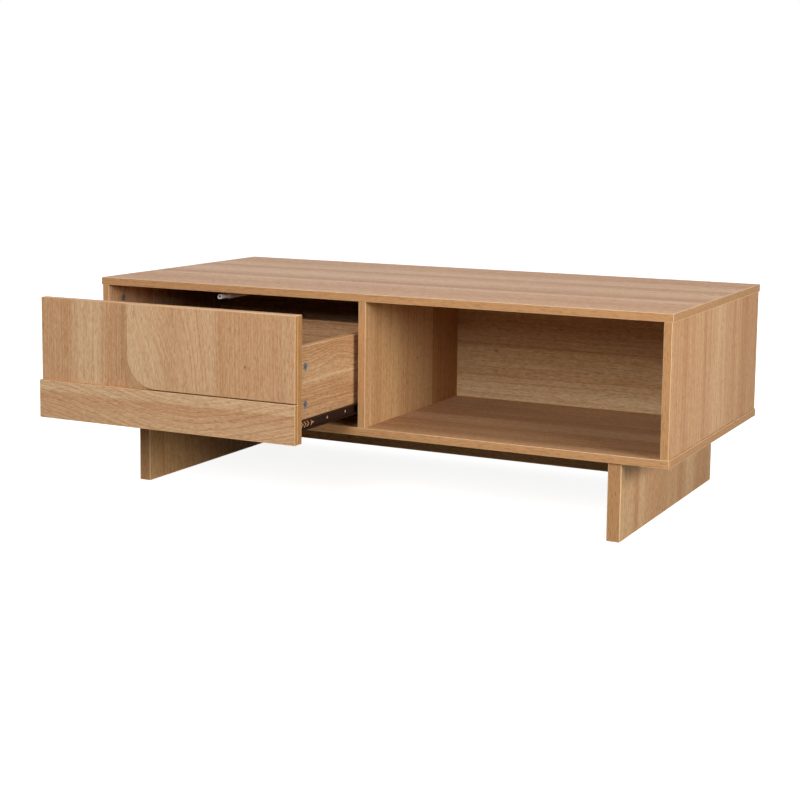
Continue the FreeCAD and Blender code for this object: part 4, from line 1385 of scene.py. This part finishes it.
@dataclass
class Carcase:
    """The box: top, bottom, two sides, divider, two backs, and the fixings that hold them."""

    palette: Palette
    screw: ScrewShape = ScrewShape(head_height=4.5 * MM, shank_radius=3.5 * MM, thread_radius=2.5 * MM,
                                   shank_length=10.5 * MM, recess_length=6.0 * MM, recess_width=1.2 * MM)

    def faces(self) -> dict[str, OakFinish]:
        """Lists the film on each board of the box.

        Returns:
            Finishes by board.
        """
        x, y, z = Axis.X, Axis.Y, Axis.Z
        return {
            "top_panel": OakFinish(
                "oak_top", x, y, srgb(203, 165, 133), srgb(175, 133, 101), (0.2, 0.35, 0.1),
                bands=0.22, lines=0.4, fibre=0.62,
                streaks=(Streak(0.36, 0.04, 0.04, SOFT_DEEP), Streak(0.245, 0.016, 0.025, PALE),
                         Streak(0.206, 0.007, 0.014, DEEP), Streak(0.116, 0.014, 0.035, PALE),
                         Streak(0.025, 0.008, 0.02, DEEP), Streak(-0.008, 0.008, 0.014, PALE),
                         Streak(-0.09, 0.03, 0.03, SOFT_DEEP))),
            "bottom_panel": OakFinish(
                "oak_bottom", x, y, srgb(195, 158, 121), srgb(169, 122, 84), (1.7, 0.1, 0.3),
                lines=0.32, fibre=0.48,
                streaks=(Streak(0.0585, 0.01, 0.016, DEEP), Streak(-0.0075, 0.02, 0.02, SOFT_PALE),
                         Streak(-0.0465, 0.002, 0.004, DEEP), Streak(-0.0735, 0.002, 0.005, SOFT_DEEP),
                         Streak(-0.12, 0.005, 0.008, SOFT_DEEP))),
            "left_side_panel": OakFinish("oak_left_side", z, y, print_shift=(0.3, 1.15, 0.5)),
            "right_side_panel": OakFinish(
                "oak_right_side", z, y, WARM_LIGHT, WARM_DARK, (0.9, 0.42, 0.2),
                bands=0.1, lines=0.38, fibre=0.36,
                streaks=(Streak(-0.095, 0.006, 0.02, DEEP), Streak(0.0, 0.012, 0.02, SOFT_PALE),
                         Streak(0.028, 0.004, 0.008, DEEP), Streak(0.124, 0.022, 0.03, PALE),
                         Streak(0.228, 0.004, 0.008, DEEP), Streak(0.34, 0.045, 0.03, DEEP))),
            "centre_divider": OakFinish(
                "oak_divider", z, y, srgb(215, 176, 130), srgb(188, 138, 91), (0.5, 0.87, 0.7),
                bands=0.1, lines=0.3,
                knots=(Knot(0.263, 0.0442, 0.0036, 0.75, 0.7),),
                # Darker rear band (SHADED): painted shade where the light from the right falls off, over a
                # darker band of the print. Pale stripe near the front: painted light of that same light,
                # over the print.
                streaks=(Streak(0.3, 0.182, 0.004, SHADED), Streak(-0.122, 0.007, 0.01, SOFT_DEEP),
                         Streak(-0.08, 0.025, 0.03, WARM_PALE))),
            "drawer_bay_back": OakFinish("oak_drawer_bay_back", x, z, print_shift=(0.8, 0.3, 0.9)),
            "shelf_bay_back": OakFinish(
                "oak_shelf_bay_back", x, z, srgb(210, 178, 137), srgb(183, 141, 99), (2.4, 0.65, 0.4),
                bands=0.1, rings=0.16, fibre=0.5,
                knots=(Knot(0.0968, 0.2595, 0.0075, 0.45, 0.8), Knot(0.1073, 0.2524, 0.0025, 0.7, 0.7)),
                # Dark upper band and the thin line at its lower edge: painted shadow of the top panel, over
                # darker print.
                streaks=(Streak(0.34, 0.066, 0.006, DEEP), Streak(0.27, 0.002, 0.004, DEEP),
                         Streak(0.214, 0.004, 0.005, SOFT_DEEP), Streak(0.168, 0.014, 0.014, PALE))),
        }

    def build(self) -> Iterator[bpy.types.Object]:
        """Builds the box's boards and fixings.

        Yields:
            Each finished piece.
        """
        faces = self.faces()
        cams = CamLocks("carcase_cam_locks", Body.CARCASE, list(faces))
        screws = Screws("carcase_base_screws", Body.CARCASE, SCREW_STEEL, Slot.STEEL, self.screw)
        for node, face in faces.items():
            board = Board(node, Body.CARCASE, face, bands=PANEL_BANDS)
            if node == "bottom_panel":
                yield board.build(self.palette, screws.seats, self.screw.head_height)
            else:
                yield board.build(self.palette, cams.seats)
        yield cams.build(self.palette)
        yield screws.build(self.palette)


@dataclass
class PlankBase:
    """Two plank legs and the rail between them."""

    palette: Palette
    edge_radius: float = 1.4 * MM

    def build(self) -> Iterator[bpy.types.Object]:
        """Builds the legs, the rail and their cams.

        Yields:
            Each finished piece.
        """
        x, y, z = Axis.X, Axis.Y, Axis.Z
        faces = {
            "left_leg": OakFinish(
                "oak_left_leg", z, y, srgb(212, 172, 122), srgb(186, 134, 85), (1.2, 2.05, 0.3),
                bands=0.25),
            "right_leg": OakFinish(
                "oak_right_leg", z, y, srgb(199, 163, 121), srgb(174, 127, 84), (2.6, 1.45, 0.8),
                bands=0.1, lines=0.18, fibre=0.44,
                # Pale stripe at the front of the leg: print, partly painted light that lifts the shade
                # under the bottom panel.
                streaks=(Streak(-0.15, 0.03, 0.02, PALE), Streak(-0.085, 0.004, 0.006, DEEP),
                         Streak(-0.055, 0.01, 0.012, PALE), Streak(0.06, 0.03, 0.03, SOFT_DEEP),
                         Streak(0.185, 0.01, 0.012, DEEP), Streak(0.25, 0.018, 0.012, PALE),
                         Streak(0.335, 0.03, 0.03, DEEP))),
            "leg_stretcher": OakFinish("oak_rail", x, z, print_shift=(3.1, 0.2, 0.6)),
        }
        cams = CamLocks("leg_cam_locks", Body.CARCASE, list(faces))
        for node, face in faces.items():
            board = Board(node, Body.CARCASE, face, bands=LEG_BANDS, edge_radius=self.edge_radius)
            yield board.build(self.palette, cams.seats)
        yield cams.build(self.palette)


@dataclass
class Drawer:
    """The drawer: a front in three layers, a box with a thin floor, and its cams."""

    palette: Palette
    front_round: float = 62.0 * MM
    floor_node: str = "drawer_floor"
    floor_edge: float = 0.3 * MM

    def faces(self) -> dict[str, OakFinish]:
        """Lists the film on each board of the drawer.

        Returns:
            Finishes by board.
        """
        x, y, z = Axis.X, Axis.Y, Axis.Z
        return {
            "drawer_front_board": OakFinish(
                "oak_front_board", z, x, FRONT_LIGHT, FRONT_DARK, (0.2, 3.1, 0.4),
                bands=0.08, rings=0.16, ring_density=200.0, lines=0.26, fibre=0.34,
                knots=(Knot(0.2873, -0.3903, 0.0016),),
                # Darker stripe at -0.4, left of the raised panel: print, partly painted shade of the raised
                # panel.
                streaks=(Streak(-0.555, 0.024, 0.03, SOFT_DEEP), Streak(-0.469, 0.016, 0.025, PALE),
                         Streak(-0.4, 0.014, 0.018, SOFT_DEEP))),
            "drawer_front_lower_plank": OakFinish(
                "oak_front_plank", x, z, FRONT_LIGHT, FRONT_DARK, (1.3, 1.9, 0.2),
                bands=0.08, rings=0.3, ring_density=110.0, lines=0.15, fibre=0.37, sway=0.05,
                bends=(Bend(-0.24, 0.2, 0.075, 0.24, 0.3),),
                knots=(Knot(-0.24, 0.2034, 0.006, 0.3), Knot(-0.1515, 0.1935, 0.0022),
                       Knot(-0.1245, 0.2025, 0.009, 0.35)),
                streaks=(Streak(0.223, 0.0085, 0.003, PALE), Streak(0.204, 0.008, 0.006, SOFT_DEEP))),
            "drawer_front_raised_panel": OakFinish(
                "oak_front_raised", z, x, FRONT_LIGHT, FRONT_DARK, (1.1, 0.66, 0.9),
                bands=0.08, rings=0.16, ring_density=165.0, lines=0.19, fibre=0.32,
                bends=(Bend(0.42, -0.33, 0.06, 0.13, 0.1),),
                knots=(Knot(0.2941, -0.1148, 0.0048, 0.5, 0.85), Knot(0.2917, -0.1088, 0.0055, 0.22, 0.7)),
                streaks=(Streak(-0.35, 0.025, 0.05, PALE), Streak(-0.22, 0.03, 0.02, SOFT_PALE),
                         Streak(-0.14, 0.025, 0.02, SOFT_DEEP), Streak(-0.075, 0.02, 0.02, SOFT_DEEP))),
            "drawer_left_side": OakFinish("oak_drawer_left", y, z, print_shift=(0.4, 2.2, 0.5), lines=0.28),
            "drawer_right_side": OakFinish(
                "oak_drawer_right", y, z, WARM_LIGHT, WARM_DARK, (1.9, 1.2, 0.1),
                bands=0.06, rings=0.2, ring_density=150.0, lines=0.4,
                bends=(Bend(-0.24, 0.315, -0.014, 0.06, 0.03),),
                streaks=(Streak(0.326, 0.01, 0.01, SOFT_DEEP), Streak(0.274, 0.016, 0.012, SOFT_PALE),
                         Streak(0.269, 0.0015, 0.0025, PALE), Streak(0.238, 0.0015, 0.003, DEEP),
                         Streak(0.224, 0.0015, 0.003, DEEP))),
            "drawer_back": OakFinish("oak_drawer_back", x, z, print_shift=(0.7, 2.7, 0.8)),
        }

    def build(self) -> Iterator[bpy.types.Object]:
        """Builds the drawer's boards and cams.

        Yields:
            Each finished piece.
        """
        floor_low, floor_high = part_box(self.floor_node)
        faces = self.faces()
        cams = CamLocks("drawer_cam_locks", Body.DRAWER, list(faces))
        for node, face in faces.items():
            low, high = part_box(node)
            holds_floor = all(low[i] < floor_high[i] and high[i] > floor_low[i] for i in range(3))
            rounding = self.front_round if node == "drawer_front_raised_panel" else 0.0
            board = Board(node, Body.DRAWER, face, bands=DRAWER_BANDS, round_corner=rounding)
            yield board.build(self.palette, cams.seats, grooves=(self.floor_node,) if holds_floor else ())
        film = OakFinish("drawer_floor_film", Axis.X, Axis.Y, srgb(206, 172, 134), srgb(176, 138, 100),
                         (0.6, 4.1, 0.3), rings=0.08)
        sheet = Board(self.floor_node, Body.DRAWER, film, Slot.FLOOR_BOARD, edge_radius=self.floor_edge)
        yield sheet.build(self.palette, ())
        yield cams.build(self.palette)


@dataclass
class PushLatch:
    """The push latch under the top: ribbed barrel on a screwed plate, plunger, soft core and spring."""

    palette: Palette
    barrel_radius: float = 6.5 * MM
    bore_radius: float = 5.1 * MM
    collar_radius: float = 7.0 * MM
    collar_length: float = 4.0 * MM
    end_wall: float = 2.0 * MM
    rib_pitch: float = 6.0 * MM
    rib_depth: float = 0.35 * MM
    ribs: int = 12
    plate_thickness: float = 3.0 * MM
    plate_start: float = 14.0 * MM
    plate_length: float = 62.0 * MM
    web: float = 6.0 * MM
    hole_depth: float = 9.0 * MM
    softening: float = 0.5 * MM
    softening_steps: int = 2
    tube_wall: float = 2.05 * MM
    tube_rim: Profile = ((0.0, 1.6), (0.4, 0.6), (1.0, 0.15), (1.6, 0.0))
    tube_mouth: Profile = ((-1.0, 0.0), (0.0, 0.6))
    core_rim: Profile = ((0.0, 1.0), (0.6, 0.4))
    core_flat: float = 0.5
    screw: ScrewShape = ScrewShape(head_height=2.0 * MM, shank_radius=1.5 * MM, thread_radius=1.5 * MM,
                                   shank_length=3.0 * MM, recess_length=3.4 * MM, recess_width=0.8 * MM)
    spring_wire: float = 0.9 * MM
    wire_sides: int = 10
    spring_turns: int = 11
    spring_steps: int = 24
    spring_pressed: float = 40.7 * MM
    sides: int = 48

    def soften(self, radius: float, steps: Profile) -> list[Pair]:
        """Draws a rounded rim.

        Args:
            radius: radius that the rim starts from.
            steps: how far in and how far up each point is, in softenings.

        Returns:
            Radius and height of each ring.
        """
        return [(radius - self.softening * inset, self.softening * rise) for inset, rise in steps]

    def axis_place(self, start: float) -> Matrix:
        """Lays a turning along the latch's axis.

        Args:
            start: where the turning's zero is, front to back.

        Returns:
            The placing matrix.
        """
        low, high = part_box("push_latch_plunger")
        middle = (low + high) / 2
        return Matrix.Translation((middle.x, start, middle.z)) @ Matrix.Rotation(-math.pi / 2, 4, "X")

    def build(self) -> Iterator[bpy.types.Object]:
        """Builds the latch.

        Yields:
            Each finished piece.
        """
        screws = Screws("push_latch_screws", Body.CARCASE, SCREW_STEEL, Slot.STEEL, self.screw)
        yield self.build_housing(screws.seats)
        yield self.build_plunger()
        yield self.build_tip()
        yield self.build_spring()
        yield screws.build(self.palette)

    def build_housing(self, seats: Sequence[Seat]) -> bpy.types.Object:
        """Turns the barrel and joins it to its plate.

        Args:
            seats: where the plate's screws sit.

        Returns:
            The housing.
        """
        low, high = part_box("push_latch_housing")
        length, soft = high.y - low.y, self.softening
        profile = [(self.barrel_radius - soft, length), (self.barrel_radius, length - soft)]
        for number in range(self.ribs):
            top = length - self.end_wall - number * self.rib_pitch
            groove = self.barrel_radius - self.rib_depth
            profile += [(self.barrel_radius, top), (groove, top - soft), (groove, top - self.rib_pitch / 2),
                        (self.barrel_radius, top - self.rib_pitch / 2 - soft)]
        profile += [(self.barrel_radius, self.collar_length),
                    (self.collar_radius, self.collar_length - soft / 2), (self.collar_radius, soft),
                    (self.collar_radius - soft, 0.0), (self.bore_radius + soft, 0.0),
                    (self.bore_radius, soft), (self.bore_radius, length - self.end_wall)]
        barrel = new_turning("push_latch_housing_body", profile, self.sides)
        move_mesh(barrel, self.axis_place(low.y))
        barrel.data.materials.append(self.palette.get(LATCH_DARK))
        middle = (low.x + high.x) / 2
        axis_z = self.axis_place(low.y).translation.z
        start, end = low.y + self.plate_start, low.y + self.plate_start + self.plate_length
        web = new_box("latch_web", Vector((middle - self.web / 2, start, axis_z + self.bore_radius + soft)),
                      Vector((middle + self.web / 2, end, high.z - soft)))
        plate = new_box("latch_plate", Vector((low.x, start, high.z - self.plate_thickness)),
                        Vector((high.x, end, high.z)))
        with editing(plate):
            select_edges(plate, is_sharp)
            bpy.ops.mesh.bevel(offset=soft, segments=self.softening_steps, affect="EDGES")
        outline = [(self.screw.shank_radius, -self.hole_depth), (self.screw.shank_radius, OVERRUN)]
        for seat in seats:
            hole = new_turning("screw_hole", outline, self.sides)
            move_mesh(hole, seat.matrix())
            combine(plate, hole, "DIFFERENCE")
        for extra in (web, plate):
            extra.data.materials.append(self.palette.get(LATCH_DARK))
            combine(barrel, extra, "UNION")
        select_only(barrel)
        bpy.ops.object.shade_smooth_by_angle(angle=SHARP_ANGLE)
        return hand_over(barrel, Body.CARCASE, Slot.LATCH_DARK, "push_latch_housing")

    def build_plunger(self) -> bpy.types.Object:
        """Turns the plunger tube with its rounded rim.

        Returns:
            The plunger.
        """
        low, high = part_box("push_latch_plunger")
        core_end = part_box("push_latch_tip")[1].y
        radius, length, soft = (high.x - low.x) / 2, high.y - low.y, self.softening
        hollow = radius - self.tube_wall
        profile = [(radius - soft, length), (radius, length - soft), *self.soften(radius, self.tube_rim),
                   *self.soften(hollow, self.tube_mouth), (hollow, core_end - low.y + FLUSH)]
        piece = new_turning("push_latch_plunger_tube", profile, self.sides)
        move_mesh(piece, self.axis_place(low.y))
        piece.data.materials.append(self.palette.get(LATCH_LIGHT))
        return hand_over(piece, Body.PLUNGER, Slot.LATCH_LIGHT, "push_latch_plunger")

    def build_tip(self) -> bpy.types.Object:
        """Turns the soft core in the plunger's end.

        Returns:
            The core.
        """
        low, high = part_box("push_latch_tip")
        radius, length = (high.x - low.x) / 2, high.y - low.y
        profile = [(radius, length), *self.soften(radius, self.core_rim), (radius * self.core_flat, 0.0)]
        piece = new_turning("push_latch_soft_core", profile, self.sides)
        move_mesh(piece, self.axis_place(low.y))
        piece.data.materials.append(self.palette.get(LATCH_TIP))
        return hand_over(piece, Body.PLUNGER, Slot.LATCH_TIP, "push_latch_tip")

    def build_spring(self) -> bpy.types.Object:
        """Winds the spring from one ring of wire, closed at both ends.

        Returns:
            The spring.
        """
        low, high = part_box("push_latch_spring")
        wire = self.spring_wire / 2
        coil = (high.x - low.x) / 2 - wire
        rise = high.y - low.y - self.spring_wire
        bpy.ops.object.select_all(action="DESELECT")
        bpy.ops.mesh.primitive_circle_add(vertices=self.wire_sides, radius=wire, fill_type="NOTHING",
                                          location=(coil, 0, wire), rotation=(math.pi / 2, 0, 0))
        piece = named(bpy.context.active_object, "push_latch_spring_coil")
        bpy.ops.object.transform_apply(location=True, rotation=True, scale=True)
        winding = piece.modifiers.new("winding", "SCREW")
        winding.screw_offset = rise / self.spring_turns
        winding.iterations = self.spring_turns
        winding.steps = winding.render_steps = self.spring_steps
        winding.use_merge_vertices = False
        bpy.ops.object.modifier_apply(modifier=winding.name)
        with editing(piece):
            bpy.ops.mesh.select_all(action="SELECT")
            bpy.ops.mesh.fill_holes(sides=0)
            bpy.ops.mesh.normals_make_consistent(inside=False)
        bpy.ops.object.shade_smooth_by_angle(angle=SHARP_ANGLE)
        move_mesh(piece, self.axis_place(low.y))
        piece.data.materials.append(self.palette.get(BRIGHT_STEEL))
        hand_over(piece, Body.CARCASE, Slot.STEEL, "push_latch_spring")
        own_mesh(piece)
        return piece


@dataclass
class Runners:
    """Ball runners: their solids are right, so they keep them, with screws modelled again."""

    palette: Palette
    sides: tuple[str, str] = ("left", "right")
    steel: float = 1.2 * MM
    screw: ScrewShape = ScrewShape(head_height=0.9 * MM, shank_radius=1.75 * MM, thread_radius=1.75 * MM,
                                   shank_length=2.0 * MM, recess_length=3.6 * MM, recess_width=0.8 * MM)

    def coat_with_painted_slot_light(self) -> MetalFinish:
        """Describes the drawer members' coat, with painted light in a pale wood colour on the walls of the
        punched chevrons and holes.

        Returns:
            The finish.
        """
        left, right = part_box("drawer_left_side")[0].x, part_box("drawer_right_side")[1].x
        low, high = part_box("right_runner_drawer_member")
        edges = PaintedSlotLight((left + right) / 2, (right - left) / 2 + self.steel - CLEARANCE,
                          low.z + self.steel * 2, high.z - self.steel * 2)
        return replace(RUNNER_COAT, name="runner_coat_painted_slot_light", painted_slot_light=edges)

    def build(self) -> Iterator[bpy.types.Object]:
        """Dresses the runners and builds their screws.

        Yields:
            Each finished piece.
        """
        punched = self.coat_with_painted_slot_light()
        for side in self.sides:
            yield coat_node(f"{side}_runner_fixed_member", self.palette.get(RUNNER_COAT))
            yield coat_node(f"{side}_runner_drawer_member", self.palette.get(punched))
            yield coat_node(f"{side}_runner_ball_cage", self.palette.get(CAGE_STEEL))
            yield coat_node(f"{side}_runner_balls", self.palette.get(BRIGHT_STEEL))
        for node, body in (("runner_wall_screws", Body.CARCASE), ("runner_drawer_screws", Body.DRAWER)):
            yield Screws(node, body, RUNNER_SCREW, Slot.RUNNER_SCREW, self.screw).build(self.palette)


@dataclass
class HiddenFixings:
    """Bolts and dowels inside the joints, which keep their solids."""

    palette: Palette
    groups: tuple[str, ...] = ("carcase", "leg", "drawer")

    def build(self) -> Iterator[bpy.types.Object]:
        """Dresses the bolts and dowels.

        Yields:
            Each dressed node.
        """
        for group in self.groups:
            yield coat_node(f"{group}_cam_bolts", self.palette.get(SCREW_STEEL))
            yield coat_node(f"{group}_dowels", self.palette.get(BEECH))


@dataclass(frozen=True)
class Lamp:
    """One soft lamp: its direction from the table in degrees, distance, width and power in watts."""

    name: str
    azimuth: float
    elevation: float
    distance: float
    width: float
    power: float

    def offset(self) -> Vector:
        """Gives the lamp's place as seen from the table.

        Returns:
            The way from the lit point to the lamp.
        """
        turn, lift = math.radians(self.azimuth), math.radians(self.elevation)
        flat = math.cos(lift)
        return Vector((math.sin(turn) * flat, -math.cos(turn) * flat, math.sin(lift))) * self.distance


@dataclass
class Studio:
    """White floor and surroundings, soft lamps and the camera."""

    camera_place: Triple = (1.39389, -2.82538, 0.73477)
    camera_turn: Triple = (82.9067, -0.5121, 27.3442)
    camera_shift: Pair = (0.03, -0.1)
    lens: float = 72.35
    sensor: float = 36.0
    aim: Triple = (0.0, -0.05, 0.25)
    floor_width: float = 30.0
    floor_drop: float = 0.2 * MM
    white: Colour = (1.0, 1.0, 1.0, 1.0)
    ambient: float = 0.01
    floor_shadow: float = 0.5
    floor_glow: float = 0.9
    floor_far: float = 1.05
    floor_near: Pair = (0.9, 2.4)
    floor_bounce: Colour = (0.31, 0.29, 0.235, 1.0)
    lamps: tuple[Lamp, ...] = (
        Lamp("front_soft_box", 10.0, 22.0, 3.6, 1.2, 62.0),
        Lamp("right_front_soft_box", 68.0, 14.0, 3.6, 1.0, 54.5),
        Lamp("right_soft_box", 81.0, 20.0, 3.6, 1.0, 33.0),
        Lamp("left_front_soft_box", -28.0, 32.0, 3.6, 1.2, 21.0),
        Lamp("overhead_soft_box", 0.0, 82.0, 5.0, 0.6, 50.0),
        Lamp("back_soft_box", 215.0, 45.0, 5.0, 2.2, 85.0),
    )

    def build(self) -> None:
        """Sets up the whole studio."""
        bpy.context.scene.view_settings.view_transform = "Standard"
        self.build_world()
        self.build_floor()
        for lamp in self.lamps:
            self.build_lamp(lamp)
        self.build_camera()

    @staticmethod
    def seen_ray(graph: Graph) -> bpy.types.NodeSocket:
        """Tells rays that see the background from rays that only carry light.

        Args:
            graph: the graph to add nodes to.

        Returns:
            One for camera, glossy and transmission rays, else zero.
        """
        path = graph.add("LightPath").outputs
        shiny = graph.math("MAXIMUM", path["Is Glossy Ray"], path["Is Transmission Ray"])
        return graph.math("MAXIMUM", path["Is Camera Ray"], shiny)

    def build_world(self) -> None:
        """Makes the surroundings white to look at and dim as a light."""
        world = bpy.data.worlds.new("studio_surroundings")
        world.use_nodes = True
        world.node_tree.nodes.clear()
        graph = Graph(world.node_tree)
        strength = graph.span(self.seen_ray(graph), 0.0, 1.0, (self.ambient, 1.0))
        light = graph.add("Background", {"Color": self.white, "Strength": strength})
        graph.add("OutputWorld", {"Surface": light.outputs[0]})
        bpy.context.scene.world = world

    def build_floor(self) -> None:
        """Lays a white floor that keeps the table's shadow."""
        bpy.ops.object.select_all(action="DESELECT")
        bpy.ops.mesh.primitive_plane_add(size=self.floor_width, location=(0, 0, -self.floor_drop))
        floor = named(bpy.context.active_object, "studio_floor")
        material = bpy.data.materials.new("studio_floor_white")
        material.use_nodes = True
        material.node_tree.nodes.clear()
        graph = Graph(material.node_tree)
        shade = self.floor_shadow
        plain = graph.add("BsdfDiffuse", {"Color": (shade, shade, shade, 1.0)})
        place = graph.add("TexCoord").outputs["Object"]
        away = graph.add("VectorMath", {0: place}, operation="LENGTH").outputs["Value"]
        strength = graph.span(away, *self.floor_near, (self.floor_glow, self.floor_far), smooth=True)
        glow = graph.add("Emission", {"Color": self.white, "Strength": strength})
        seen = graph.add("AddShader", {0: plain.outputs[0], 1: glow.outputs[0]})
        bounce = graph.add("BsdfDiffuse", {"Color": self.floor_bounce})
        both = graph.add("MixShader", {0: self.seen_ray(graph), 1: bounce.outputs[0], 2: seen.outputs[0]})
        graph.add("OutputMaterial", {"Surface": both.outputs[0]})
        floor.data.materials.append(material)

    def build_lamp(self, lamp: Lamp) -> None:
        """Hangs one soft lamp that faces the table.

        Args:
            lamp: the lamp.
        """
        offset = lamp.offset()
        turn = (-offset).to_track_quat("-Z", "Y").to_euler()
        bpy.ops.object.light_add(type="AREA", location=Vector(self.aim) + offset, rotation=turn)
        light = named(bpy.context.active_object, lamp.name)
        light.data.size = lamp.width
        light.data.energy = lamp.power

    def build_camera(self) -> None:
        """Stands the camera where the photograph was taken from."""
        turn = [math.radians(angle) for angle in self.camera_turn]
        bpy.ops.object.camera_add(location=self.camera_place, rotation=turn)
        camera = named(bpy.context.active_object, "photo_camera")
        camera.data.sensor_width = self.sensor
        camera.data.lens = self.lens
        camera.data.shift_x, camera.data.shift_y = self.camera_shift
        bpy.context.scene.camera = camera


def write_sizes() -> None:
    """Updates the view layer."""
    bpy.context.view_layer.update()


def main() -> None:
    """Builds the table part by part, reports each piece, and sets up the studio."""
    logging.basicConfig(level=logging.INFO, format="%(name)s: %(message)s")
    palette = Palette()
    for group in (Carcase, PlankBase, Drawer, Runners, PushLatch, HiddenFixings):
        for piece in group(palette).build():
            LOG.info("%s has %d faces", piece.name, len(piece.data.polygons))
    Studio().build()
    write_sizes()


if __name__ == "__main__":
    main()
